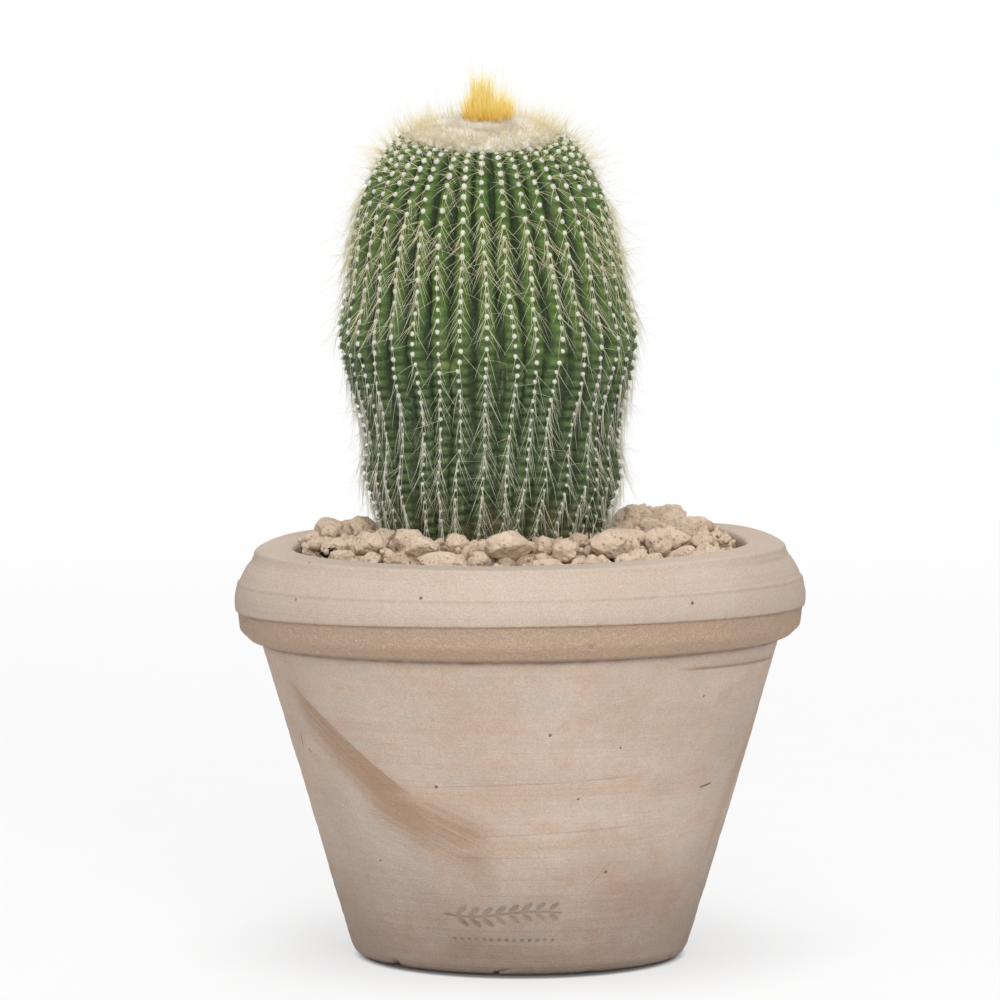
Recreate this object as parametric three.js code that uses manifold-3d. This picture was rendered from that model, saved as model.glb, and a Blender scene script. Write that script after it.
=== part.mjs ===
// A short columnar golden ball cactus in a turned terracotta pot, top-dressed with pumice gravel.
//
// Millimetres, +Z up. The pot stands on Z = 0, its axis is the Z axis, and the front faces -Y.
// The pot, the soil, the gravel and the plant rest in each other, with GAP between them.

import * as THREE from 'three';
import { mergeVertices } from 'three/addons/utils/BufferGeometryUtils.js';
import Module from 'manifold-3d';

const wasm = await Module();
wasm.setup();

// ---------------------------------------------------------------- driving dimensions

const GAP = 0.3;                   // clearance between pieces that touch
const POT_HEIGHT = 155.5;          // base to the inner lip
const RIM_RADIUS = 110.2;          // widest point of the rolled rim
const RIDGE_RADIUS = 102.6;        // outer edge of the flat ring on top
const MOUTH_RADIUS = 87;           // inside of the rim
const BASE_RADIUS = 61.5;          // flat that the pot stands on
const WALL_FOOT_RADIUS = 63.9;     // outside of the wall, carried down to Z = 0
const WALL_SLOPE = 0.3;            // outward run of the wall for each millimetre of height
const WALL_THICKNESS = 11.6;
const FLOOR_THICKNESS = 11;
const DRAIN_RADIUS = 11;
const RIM_UNDERSIDE = 120;         // where the wall meets the rim
const BAND_FOOT = 125.4;           // lower corner of the rim's recessed band
const BULGE_FOOT = 133.2;          // where the band meets the bulge above it
const RIDGE_FOOT = 151.3;          // where the bulge meets the upright edge of the ring on top

const SOIL_TOP = 140;
const GRAVEL_EDGE = 148.5;         // gravel level at the rim
const GRAVEL_RISE = 7.5;           // how far the gravel mounds towards the plant
const GRAVEL_RISE_RUN = 30;        // over this distance in from the rim

const RIBS = 37;
const RIB_DEPTH = 3.6;             // furrow depth where the plant is widest
const PLANT_WIDEST = 57.8;         // radius over the ribs
const PLANT_X = -10.3;             // the plant stands left of the pot's middle
const PLANT_LEAN = -4;             // and leans this much further left at its crown
const PLANT_BEND_FROM = 215;       // above this height the stem turns to the front
const PLANT_BEND_TO = 300;
const CROWN_TILT = THREE.MathUtils.degToRad(12.5);
const CROWN_LEVEL = 316.3;         // distance along the stem's axis to its top
const WOOL_RADIUS = 34;
const TUFT_TOP = 340;

// Distance along the stem's axis and radius over the ribs, from the buried root crown to the top.
const PLANT_OUTLINE = [
  [96, 0], [98, 6], [112, 15], [130, 30], [145, 38.5], [157, 42], [166, 44.5], [175, 47.5],
  [184, 50.2], [196, 49.4], [208, 51.2], [220, 54.8], [230, 57], [236, PLANT_WIDEST], [244, 57.2],
  [256, 54.2], [268, 52.8], [282, 50], [291, 47.2], [299, 44], [306, 40.2], [312, 35.6],
  [314.7, 30], [315.9, 18], [CROWN_LEVEL, 0],
];

// The larger stones that lie on the gravel: x, y, length, width, height and turn in degrees.
const STONES = [
  // along the front lip, left to right
  [-79, -15, 9, 8, 8, 70], [-68, -41, 10, 9, 8, 20], [-57, -56, 11, 8, 7, -40],
  [-46, -65, 11, 8, 8, -35], [-30, -74, 17, 10, 9, -20], [-15.5, -76, 9, 9, 8, 10],
  [10, -78, 13, 8, 7, 0], [26, -76, 10, 8, 7, 25], [39, -70, 9, 8, 8, 40],
  [50, -62, 11, 9, 8, 50], [63, -48, 11, 9, 9, 35], [71, -35, 10, 9, 8, 60],
  [80, -16, 9, 8, 7, 80],
  // the second row
  [-70, -26, 10, 9, 8, 30], [-57, -38, 13, 11, 9, 15], [-37, -58, 13, 11, 10, -30],
  [-4.5, -66, 19, 13, 11, 8], [16.5, -66, 10, 10, 9, 60], [33, -58, 14, 11, 10, -15],
  [52, -44, 12, 11, 10, 30], [69, -18, 9, 10, 9, 20], [79.5, 0, 8, 10, 9, 0],
  // against the plant
  [-61, 0, 11, 10, 9, 60], [-52, -26, 10, 9, 9, -20], [-43, -42, 13, 11, 10, 20],
  [-24, -52, 10, 9, 8, 30], [-10, -50.5, 8, 7, 7, 0], [22, -47, 10, 9, 8, 20],
  [38, -38, 19, 13, 11, 18], [58, -27, 13, 10, 9, -25], [50, 3, 11, 10, 8, 10],
  // the heaps at the left and at the right
  [-73, 9, 16, 12, 11, -65], [-66, 27, 12, 10, 9, 40], [46, 21, 13, 11, 9, -30],
  [63, -6, 12, 9, 9, 35], [66, 12, 14, 11, 9, 15], [78, 17, 9, 8, 8, 30],
  [48, 46, 10, 9, 9, 60], [60, 34, 11, 10, 10, 5], [68, 43, 10, 9, 8, -40],
  // behind the plant
  [-52, 50, 14, 10, 9, -30], [-36, 62, 12, 11, 9, 15], [-18, 53, 11, 9, 8, 50],
  [-15, 74, 14, 10, 9, 5], [4, 58, 13, 11, 10, -20], [20, 73, 12, 10, 9, 30],
  [27, 50, 11, 9, 8, 10], [41, 65, 13, 10, 9, -35], [-63, 45, 9, 8, 8, 60],
];

const clay = new THREE.MeshStandardMaterial({ color: 0xb7a08d, roughness: 0.85, metalness: 0 });
const soil = new THREE.MeshStandardMaterial({ color: 0x3b2c20, roughness: 0.95, metalness: 0 });
const pumice = new THREE.MeshStandardMaterial({ color: 0xc2a98c, roughness: 0.9, metalness: 0 });
const skin = new THREE.MeshStandardMaterial({ color: 0x47703f, roughness: 0.6, metalness: 0 });
const wool = new THREE.MeshStandardMaterial({ color: 0xe6dccb, roughness: 1, metalness: 0 });
const bristle = new THREE.MeshStandardMaterial({ color: 0xd9a93a, roughness: 0.7, metalness: 0 });
const husk = new THREE.MeshStandardMaterial({ color: 0x4a2a32, roughness: 0.9, metalness: 0 });

// ---------------------------------------------------------------- helpers

const potted_cactus = new THREE.Group();

// A rise from 0 at `from` to 1 at `to`, level at both ends.
const ease = (value, from, to) => THREE.MathUtils.smoothstep(value, from, to);

// The same geometry with only positions, and with its shared vertices merged.
function welded(geometry) {
  geometry.deleteAttribute('normal');
  geometry.deleteAttribute('uv');
  return mergeVertices(geometry, 1e-4);
}

// A profile of [radius, height] points, turned once about Z. The profile closes on itself or on the axis.
function turned(profile, segments) {
  const points = profile.map(([radius, height]) => new THREE.Vector2(radius, height));
  return welded(new THREE.LatheGeometry(points, segments).rotateX(Math.PI / 2));
}

// Moves every vertex by a function of its place.
function shaped(geometry, move) {
  const position = geometry.getAttribute('position');
  const point = new THREE.Vector3();
  for (let i = 0; i < position.count; i += 1) {
    point.fromBufferAttribute(position, i);
    move(point);
    position.setXYZ(i, point.x, point.y, point.z);
  }
  return geometry;
}

function solid(geometry) {
  return new wasm.Manifold(new wasm.Mesh({
    numProp: 3,
    vertProperties: new Float32Array(geometry.getAttribute('position').array),
    triVerts: new Uint32Array(geometry.getIndex().array),
  }));
}

// The first geometry with the second one cut out of it.
function cut(geometry, tool) {
  const mesh = solid(geometry).subtract(solid(tool)).getMesh();
  const result = new THREE.BufferGeometry();
  result.setAttribute('position', new THREE.BufferAttribute(mesh.vertProperties, mesh.numProp));
  result.setIndex(new THREE.BufferAttribute(mesh.triVerts, 1));
  return result;
}

function add(name, geometry, material) {
  geometry.computeVertexNormals();
  const mesh = new THREE.Mesh(geometry, material);
  mesh.name = name;
  potted_cactus.add(mesh);
  return mesh;
}

// ---------------------------------------------------------------- pot

const wallOutside = (height) => WALL_FOOT_RADIUS + WALL_SLOPE * height;
const wallInside = (height) => Math.min(wallOutside(height) - WALL_THICKNESS, MOUTH_RADIUS);

// One closed section: up the outside, over the rolled rim, down the inside and out through the drain hole.
function potSection() {
  const bulge = new THREE.CubicBezierCurve(
    new THREE.Vector2(RIM_RADIUS - 0.4, BULGE_FOOT),
    new THREE.Vector2(RIM_RADIUS + 1.1, BULGE_FOOT + 6),
    new THREE.Vector2(RIM_RADIUS - 2, RIDGE_FOOT - 4),
    new THREE.Vector2(RIDGE_RADIUS + 0.8, RIDGE_FOOT),
  ).getPoints(6).map((point) => [point.x, point.y]);
  const section = [
    [DRAIN_RADIUS + 1, 0],
    [BASE_RADIUS, 0], [BASE_RADIUS + 1.9, 1], [BASE_RADIUS + 2.9, 2.3], [wallOutside(4), 4],
    [wallOutside(60), 60], [wallOutside(RIM_UNDERSIDE - 0.8), RIM_UNDERSIDE - 0.8],
    [wallOutside(RIM_UNDERSIDE) + 0.8, RIM_UNDERSIDE], [104.4, 121.4], [108, BAND_FOOT],
    [108.9, BULGE_FOOT - 1.5], [109.1, BULGE_FOOT - 0.2],
    ...bulge,
    [RIDGE_RADIUS + 0.2, RIDGE_FOOT + 1], [RIDGE_RADIUS, POT_HEIGHT - 1.2],
    [RIDGE_RADIUS - 1, POT_HEIGHT - 0.5],
    [MOUTH_RADIUS + 1.6, POT_HEIGHT], [MOUTH_RADIUS + 0.4, POT_HEIGHT - 0.5],
    [MOUTH_RADIUS, POT_HEIGHT - 2], [MOUTH_RADIUS, 118],
    [wallInside(FLOOR_THICKNESS + 6), FLOOR_THICKNESS + 6],
    [wallInside(FLOOR_THICKNESS) - 2, FLOOR_THICKNESS + 1.5],
    [wallInside(FLOOR_THICKNESS) - 6, FLOOR_THICKNESS],
    [DRAIN_RADIUS, FLOOR_THICKNESS],
  ];
  return [...section, section[0]];
}

add('pot', turned(potSection(), 64), clay);

// ---------------------------------------------------------------- plant

const outlineCurve = new THREE.CatmullRomCurve3(
  PLANT_OUTLINE.map(([along, radius]) => new THREE.Vector3(radius, along, 0)),
  false,
  'catmullrom',
  0.5,
);

// Bends a straight upright stem: it stands at PLANT_X, leans left, and turns its crown to the front.
function bend(point) {
  const along = point.z;
  const reach = PLANT_BEND_TO - PLANT_BEND_FROM;
  const part = ease(along, PLANT_BEND_FROM, PLANT_BEND_TO);
  const tilt = CROWN_TILT * part;
  // The bend's tilt grows evenly, so the axis moves forward by the mean tilt over the way so far.
  const run = Math.max(0, along - PLANT_BEND_FROM);
  const inBend = Math.min(run, reach);
  const forward = Math.sin(CROWN_TILT) * ((inBend * inBend) / (2 * reach) + Math.max(0, run - reach));
  const dropped = (1 - Math.cos(CROWN_TILT)) * ((inBend * inBend) / (3 * reach) + Math.max(0, run - reach));
  const lean = PLANT_LEAN * ease(along, 165, 310);
  point.set(
    PLANT_X + lean + point.x,
    point.y * Math.cos(tilt) - forward,
    along - dropped + point.y * Math.sin(tilt),
  );
}

// Ridges at every second column, furrows between them, fading out underground and at the crown.
function ribbed(point) {
  const radius = Math.hypot(point.x, point.y);
  const turn = Math.atan2(point.x, -point.y);
  const furrow = (1 - Math.cos(RIBS * turn)) / 2;
  const depth = RIB_DEPTH * furrow * ease(radius, 12, 40) * ease(point.z, 120, 150);
  const shrink = radius > 0 ? 1 - depth / radius : 1;
  point.x *= shrink;
  point.y *= shrink;
  bend(point);
}

const PLANT_ROWS = 26;
const plantProfile = outlineCurve.getSpacedPoints(PLANT_ROWS).map((point) => [Math.max(0, point.x), point.y]);
plantProfile[0][0] = 0;
plantProfile[PLANT_ROWS][0] = 0;

// One column of the turned profile lies on each ridge and one in each furrow, from the front ridge on.
add('cactus_stem', shaped(turned(plantProfile, 2 * RIBS), ribbed), skin);

// The same outline, a gap larger and without ribs, for hollows that the plant stands in.
const plantRoom = turned(
  [[0, 90], ...plantProfile.slice(1, 17).map(([radius, along]) => [radius + 2 * GAP, along]), [0, 250]],
  2 * RIBS,
).translate(PLANT_X, 0, 0);

// ---------------------------------------------------------------- crown

// A low cushion of wool over the growing point, in the plant's own frame before it is bent.
const woolProfile = [
  [0, CROWN_LEVEL + 0.5], [18, CROWN_LEVEL + 0.1], [29.5, CROWN_LEVEL - 1],
  [WOOL_RADIUS - 0.5, CROWN_LEVEL - 1.9], [WOOL_RADIUS, CROWN_LEVEL - 0.9],
  [WOOL_RADIUS - 2, CROWN_LEVEL + 1.1], [WOOL_RADIUS - 8, CROWN_LEVEL + 3],
  [20, CROWN_LEVEL + 4], [11, CROWN_LEVEL + 3.7], [0, CROWN_LEVEL + 3.2],
];
add('crown_wool', shaped(turned(woolProfile, 32), bend), wool);

// The upright tuft of young golden bristles: a flaring bundle with an uneven top.
const TUFT_X = -12;
const TUFT_Y = -9;
const TUFT_FOOT = 322;
const tuftProfile = [
  [0, TUFT_FOOT], [8.5, TUFT_FOOT], [9.4, TUFT_FOOT + 6], [9, TUFT_TOP - 6], [6, TUFT_TOP - 1], [0, TUFT_TOP - 2],
];
function tufted(point) {
  const turn = Math.atan2(point.y, point.x);
  const high = ease(point.z, TUFT_FOOT + 6, TUFT_TOP - 2);
  point.z += high * (1.2 * Math.sin(3 * turn) - 1);
  point.x += TUFT_X;
  point.y = 0.8 * point.y + TUFT_Y;
}
add('bristle_tuft', shaped(turned(tuftProfile, 24), tufted), bristle);

// ---------------------------------------------------------------- soil and gravel

const soilBody = turned([
  [0, FLOOR_THICKNESS + GAP],
  [wallInside(FLOOR_THICKNESS) - 6, FLOOR_THICKNESS + GAP],
  [wallInside(FLOOR_THICKNESS) - 2.5, FLOOR_THICKNESS + 2],
  [wallInside(FLOOR_THICKNESS + 6) - GAP - 0.1, FLOOR_THICKNESS + 6.4],
  [MOUTH_RADIUS - 2 * GAP, 118],
  [MOUTH_RADIUS - 2 * GAP, SOIL_TOP],
  [0, SOIL_TOP],
], 48);
add('potting_soil', cut(soilBody, plantRoom), soil);

// Height of the gravel: level at the rim, mounding inwards, with a heap at the right and one at the left.
function gravelLevel(x, y) {
  const inward = MOUTH_RADIUS - Math.hypot(x, y);
  const heap = (cx, cy, spread, height) => {
    return height * Math.exp(-((x - cx) ** 2 + (y - cy) ** 2) / (2 * spread * spread));
  };
  const mound = GRAVEL_RISE * ease(inward, 2, GRAVEL_RISE_RUN + 2);
  return GRAVEL_EDGE + mound + heap(58, 36, 18, 5.5) + heap(-63, 12, 15, 3);
}

const GRAVEL_BASE = SOIL_TOP + GAP;
const GRAVEL_OUTSIDE = MOUTH_RADIUS - 2 * GAP;
const gravelRings = [GRAVEL_OUTSIDE, 79, 70, 61, 52, 43, 34, 20, 0];
const gravelBody = turned(
  [[0, GRAVEL_BASE], [GRAVEL_OUTSIDE, GRAVEL_BASE], ...gravelRings.map((radius) => [radius, GRAVEL_EDGE])],
  48,
);
shaped(gravelBody, (point) => {
  if (point.z > GRAVEL_BASE + 1) {
    point.z = gravelLevel(point.x, point.y);
  }
});
add('gravel_bed', cut(gravelBody, plantRoom), pumice);

// A broken lump: a ball with a wavy surface and a few flats, stretched to its three sizes.
function stone(length, width, height, seed) {
  const lump = welded(new THREE.IcosahedronGeometry(0.5, 1));
  return shaped(lump, (point) => {
    const wave = Math.sin(5.1 * point.x + 2.3 * seed) + Math.sin(5.7 * point.y + 1.7 * seed)
      + Math.sin(6.3 * point.z + 3.1 * seed);
    point.multiplyScalar(1 + 0.05 * wave);
    point.set(point.x * length, point.y * width, point.z * height);
  });
}

// Lays a stone on the gravel: its lowest point is a gap above the highest gravel under it.
function lay(mesh, x, y, reach, lowest) {
  const levels = [gravelLevel(x, y)];
  for (let step = 0; step < 12; step += 1) {
    const turn = (step * Math.PI) / 6;
    levels.push(gravelLevel(x + reach * Math.cos(turn), y + reach * Math.sin(turn)));
  }
  mesh.position.set(x, y, Math.max(...levels) + GAP - lowest);
}

STONES.forEach(([x, y, length, width, height, turn], index) => {
  const geometry = stone(length, width, height, index + 1).rotateZ(THREE.MathUtils.degToRad(turn));
  geometry.computeBoundingBox();
  const name = `stone_${String(index + 1).padStart(2, '0')}`;
  const mesh = add(name, geometry, pumice);
  lay(mesh, x, y, width / 2, geometry.boundingBox.min.z);
});

// A dried flower that has dropped from the crown and lies on the gravel by the rim.
const FLOWER_X = -77;
const FLOWER_Y = -28;
const flower = stone(8, 6, 4, 3).rotateZ(THREE.MathUtils.degToRad(35));
flower.computeBoundingBox();
lay(add('dried_flower', flower, husk), FLOWER_X, FLOWER_Y, 3, flower.boundingBox.min.z);

export default potted_cactus;
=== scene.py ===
"""A short columnar golden ball cactus in a turned terracotta pot, dressed with pumice gravel.

Metres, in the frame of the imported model: +Z up, the pot stands on Z = 0 and the front faces -Y.
Sizes in the classes are in millimetres and are turned into metres where a mesh is made.
"""

import logging
import math
from dataclasses import dataclass, field
from enum import Enum

import bpy
import numpy as np
from numpy.typing import NDArray
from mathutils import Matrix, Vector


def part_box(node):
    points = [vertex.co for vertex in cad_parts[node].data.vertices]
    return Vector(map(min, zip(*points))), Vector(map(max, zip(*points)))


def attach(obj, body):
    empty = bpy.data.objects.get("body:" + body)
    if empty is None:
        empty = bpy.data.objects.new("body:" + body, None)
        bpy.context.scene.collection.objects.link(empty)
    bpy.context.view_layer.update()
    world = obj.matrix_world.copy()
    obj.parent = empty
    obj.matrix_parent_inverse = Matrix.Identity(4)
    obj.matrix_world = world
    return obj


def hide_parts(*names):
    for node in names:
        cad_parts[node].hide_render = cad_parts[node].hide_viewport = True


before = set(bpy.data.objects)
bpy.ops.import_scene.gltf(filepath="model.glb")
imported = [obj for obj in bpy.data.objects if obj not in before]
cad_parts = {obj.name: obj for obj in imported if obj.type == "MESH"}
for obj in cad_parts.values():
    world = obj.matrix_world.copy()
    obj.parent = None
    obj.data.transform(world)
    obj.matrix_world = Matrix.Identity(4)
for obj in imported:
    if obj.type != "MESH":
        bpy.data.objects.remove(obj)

Array = NDArray[np.float64]
Faces = list[NDArray[np.int64]]
Colour = tuple[float, float, float]
Place = tuple[float, float, float]
Draws = np.random.Generator
Material = bpy.types.Material
Socket = bpy.types.NodeSocket

MM = 0.001
BODY = "root"
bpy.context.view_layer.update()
log = logging.getLogger("potted_cactus")


class Slot(Enum):
    """Material slots of the record; no piece made in this script takes one."""

    CLAY = "clay"
    PUMICE = "pumice"
    SKIN = "skin"
    WOOL = "wool"
    SPINE = "spine"
    HUSK = "husk"


# ---------------------------------------------------------------- numbers


def ease(value: Array, start: float, end: float) -> Array:
    """A rise from 0 at start to 1 at end, level at both ends: 3t^2 - 2t^3.

    Args:
        value: Where to evaluate.
        start: Value at which the rise begins; it may be above end.
        end: Value at which it is complete.

    Returns:
        The rise, between 0 and 1.
    """
    part = np.clip((value - start) / (end - start), 0.0, 1.0)
    return part * part * (3.0 - 2.0 * part)


def bell(value: Array, middle: float, spread: float) -> Array:
    """A bump of height 1 at middle: exp(-(distance / spread)^2)."""
    return np.exp(-(((value - middle) / spread) ** 2))


def noise(points: Array, size: float, seed: int = 0) -> Array:
    """Smooth value noise in space.

    Each corner of a lattice of cubes has a hashed value between -1 and 1, and a point takes the
    mean of its cube's eight corners, weighted by the cubic ease of its place in the cube.

    Args:
        points: Places, with three coordinates on the last axis.
        size: Edge of a cube, in the same unit.
        seed: Chooses another field.

    Returns:
        One value per place.
    """
    cell = points / size
    low = np.floor(cell)
    part = cell - low
    part = part * part * (3.0 - 2.0 * part)
    low = low.astype(np.int64)
    total = np.zeros(points.shape[:-1])
    for corner in np.ndindex(2, 2, 2):
        at = low + np.array(corner)
        mixed = at[..., 0] * 374761393 + at[..., 1] * 668265263 + at[..., 2] * 1442695041 + seed * 974634777
        mixed = (mixed ^ (mixed >> 13)) * 1274126177
        mixed = (mixed ^ (mixed >> 16)) & 0xFFFFFF
        weight = np.prod(np.where(np.array(corner) == 1, part, 1.0 - part), axis=-1)
        total += weight * (mixed / float(0xFFFFFF) * 2.0 - 1.0)
    return total


def layered_noise(points: Array, size: float, seed: int = 0, layers: int = 3) -> Array:
    """Noise summed over layers, each half the size and half the height of the one before."""
    total = np.zeros(points.shape[:-1])
    for layer in range(layers):
        total += noise(points, size / 2**layer, seed + layer) / 2**layer
    return total


def unit(vectors: Array) -> Array:
    """The vectors scaled to length 1, along the last axis."""
    return vectors / np.maximum(np.linalg.norm(vectors, axis=-1, keepdims=True), 1e-12)


def around(turn: Array) -> tuple[Array, Array]:
    """X and Y of a direction that starts at the front, -Y, and turns towards +X."""
    return np.sin(turn), -np.cos(turn)


# ---------------------------------------------------------------- meshes


def grid_faces(rows: int, columns: int, wrap_rows: bool = False) -> NDArray[np.int64]:
    """Quads of a grid of points stored row by row.

    Rows run upwards and columns anticlockwise seen from above, so that the faces look outwards.

    Args:
        rows: Number of rows of points.
        columns: Number of points in a row.
        wrap_rows: Whether the last row joins the first, as the last column always does.

    Returns:
        One row of four point numbers per face.
    """
    row = np.arange(rows if wrap_rows else rows - 1)[:, None]
    column = np.arange(columns)[None, :]
    above = (row + 1) % rows
    beside = (column + 1) % columns
    low, high = row * columns, above * columns
    corners = [low + column, low + beside, high + beside, high + column]
    return np.stack(np.broadcast_arrays(*corners), axis=-1).reshape(-1, 4)


def capped_faces(rows: int, columns: int) -> Faces:
    """Faces of a grid closed by two poles, the low and the high one, which follow the grid's points."""
    column = np.arange(columns)
    beside = (column + 1) % columns
    low, high = rows * columns, rows * columns + 1
    last = (rows - 1) * columns
    foot = np.stack([np.full(columns, low), beside, column], axis=-1)
    head = np.stack([last + column, last + beside, np.full(columns, high)], axis=-1)
    return [grid_faces(rows, columns), foot, head]


def ball(rows: int, columns: int) -> tuple[Array, Faces]:
    """Points of a unit ball with its poles on Z, and its faces.

    Args:
        rows: Rings of points between the poles.
        columns: Points in a ring.

    Returns:
        The points, poles last, and the faces.
    """
    rise = (np.arange(rows) + 1) * math.pi / (rows + 1) - math.pi / 2
    turn = np.arange(columns) * 2 * math.pi / columns
    rise, turn = np.meshgrid(rise, turn, indexing="ij")
    x, y = around(turn)
    ring = np.stack([np.cos(rise) * x, np.cos(rise) * y, np.sin(rise)], axis=-1).reshape(-1, 3)
    return np.concatenate([ring, [[0, 0, -1], [0, 0, 1]]]), capped_faces(rows, columns)


def repeated(faces: Faces, points_each: int, count: int) -> Faces:
    """The faces of one shape, repeated for count copies of its points."""
    shift = (np.arange(count) * points_each)[:, None, None]
    return [(face[None] + shift).reshape(-1, face.shape[1]) for face in faces]


def build_piece(
    name: str,
    points: Array,
    faces: Faces,
    material: Material,
    shades: dict[str, Array] | None = None,
) -> bpy.types.Object:
    """Makes one finished piece of the object and lets it ride with the pot.

    Args:
        name: Name of the piece.
        points: Places in millimetres, any shape with three coordinates last.
        faces: Arrays of point numbers, one array per number of corners.
        material: Finish of the whole piece.
        shades: Named values, one per point, which the material reads.

    Returns:
        The new object, at the origin.
    """
    flat = points.reshape(-1, 3) * MM
    mesh = bpy.data.meshes.new(name)
    mesh.vertices.add(len(flat))
    mesh.vertices.foreach_set("co", flat.astype(np.float32).ravel())
    corners = np.concatenate([face.ravel() for face in faces])
    sizes = np.concatenate([np.full(len(face), face.shape[1]) for face in faces])
    mesh.loops.add(len(corners))
    mesh.loops.foreach_set("vertex_index", corners.astype(np.int32))
    mesh.polygons.add(len(sizes))
    mesh.polygons.foreach_set("loop_start", (np.cumsum(sizes) - sizes).astype(np.int32))
    mesh.polygons.foreach_set("use_smooth", np.ones(len(sizes), dtype=bool))
    mesh.update(calc_edges=True)
    mesh.validate()
    for key, values in (shades or {}).items():
        layer = mesh.attributes.new(key, "FLOAT", "POINT")
        layer.data.foreach_set("value", np.asarray(values, dtype=np.float32).ravel())
    mesh.materials.append(material)
    piece = bpy.data.objects.new(name, mesh)
    bpy.context.collection.objects.link(piece)
    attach(piece, BODY)
    log.info("%s: %d triangles", name, int((sizes - 2).sum()))
    return piece


def node_points(name: str) -> Array:
    """Vertices of a CAD node, in millimetres."""
    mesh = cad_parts[name].data
    flat = np.empty(len(mesh.vertices) * 3)
    mesh.vertices.foreach_get("co", flat)
    return flat.reshape(-1, 3) / MM


# ---------------------------------------------------------------- shader building


class Recipe:
    """A node tree being filled: adds nodes from left to right and joins their sockets."""

    def __init__(self, tree: bpy.types.NodeTree) -> None:
        """Starts on a tree.

        Args:
            tree: The tree to fill.
        """
        self.tree = tree
        self.count = 0

    def add(
        self, kind: str, inputs: dict[str | int, object] | None = None, **settings: object
    ) -> bpy.types.Node:
        """Adds a node.

        Args:
            kind: Type name of the node.
            inputs: Values or sockets for its inputs, by name or number.
            settings: Its other properties.

        Returns:
            The node.
        """
        node = self.tree.nodes.new(kind)
        node.location = (220 * (self.count % 12), -260 * (self.count // 12))
        self.count += 1
        for key, value in settings.items():
            setattr(node, key, value)
        for key, value in (inputs or {}).items():
            self.feed(node.inputs[key], value)
        return node

    def feed(self, socket: Socket, value: object) -> None:
        """Joins a socket to another one, or sets its value."""
        if isinstance(value, Socket):
            self.tree.links.new(value, socket)
        elif isinstance(value, tuple) and len(value) == 3 and socket.type == "RGBA":
            socket.default_value = (*value, 1.0)
        else:
            socket.default_value = value

    def math(
        self, operation: str, first: object, second: object = 0.0, clamp: bool = False
    ) -> Socket:
        """The result of a Math node."""
        made = self.add("ShaderNodeMath", {0: first, 1: second}, operation=operation, use_clamp=clamp)
        return made.outputs[0]

    def times(self, first: object, second: object) -> Socket:
        """The product of two values."""
        return self.math("MULTIPLY", first, second)

    def ramp(
        self, value: object, low: object, high: object, to_low: float = 0.0, to_high: float = 1.0
    ) -> Socket:
        """Maps low..high to to_low..to_high with a smooth, clamped step."""
        made = self.add(
            "ShaderNodeMapRange",
            {"Value": value, "From Min": low, "From Max": high, "To Min": to_low, "To Max": to_high},
            interpolation_type="SMOOTHSTEP",
        )
        return made.outputs["Result"]

    def mix(self, factor: object, first: object, second: object, blend: str = "MIX") -> Socket:
        """Two colours mixed."""
        made = self.add("ShaderNodeMix", data_type="RGBA", blend_type=blend, clamp_factor=True)
        self.feed(made.inputs[0], factor)
        self.feed(made.inputs[6], first)
        self.feed(made.inputs[7], second)
        return made.outputs[2]

    def place(self, scale: tuple[float, float, float] = (1.0, 1.0, 1.0)) -> Socket:
        """Object coordinates, stretched by a Mapping node."""
        where = self.add("ShaderNodeTexCoord").outputs["Object"]
        return self.add("ShaderNodeMapping", {"Vector": where, "Scale": scale}).outputs["Vector"]

    def shade(self, name: str) -> Socket:
        """A named value of the mesh."""
        return self.add("ShaderNodeAttribute", attribute_name=name).outputs["Fac"]

    def grain(
        self, where: object, scale: object, detail: float = 4.0, roughness: float = 0.55
    ) -> Socket:
        """Noise between 0 and 1; scale is in cells per metre."""
        made = self.add(
            "ShaderNodeTexNoise",
            {"Vector": where, "Scale": scale, "Detail": detail, "Roughness": roughness},
        )
        return made.outputs["Fac"]

    def group(self, tree: bpy.types.NodeTree, inputs: dict[str, object]) -> bpy.types.Node:
        """Places a shared effect."""
        made = self.add("ShaderNodeGroup", node_tree=tree)
        for key, value in inputs.items():
            self.feed(made.inputs[key], value)
        return made


def shared_effect(
    name: str,
    inputs: dict[str, tuple[str, object]],
    outputs: dict[str, str],
) -> tuple[bpy.types.NodeTree, Recipe, bpy.types.Node, bpy.types.Node]:
    """Starts a shader node group with named sockets.

    Args:
        name: Name of the effect.
        inputs: Socket type and default value by input name.
        outputs: Socket type by output name.

    Returns:
        The group, its recipe, its input node and its output node.
    """
    tree = bpy.data.node_groups.new(name, "ShaderNodeTree")
    for key, (kind, default) in inputs.items():
        made = tree.interface.new_socket(key, in_out="INPUT", socket_type=kind)
        made.default_value = default
    for key, kind in outputs.items():
        tree.interface.new_socket(key, in_out="OUTPUT", socket_type=kind)
    recipe = Recipe(tree)
    return tree, recipe, recipe.add("NodeGroupInput"), recipe.add("NodeGroupOutput")


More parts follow.
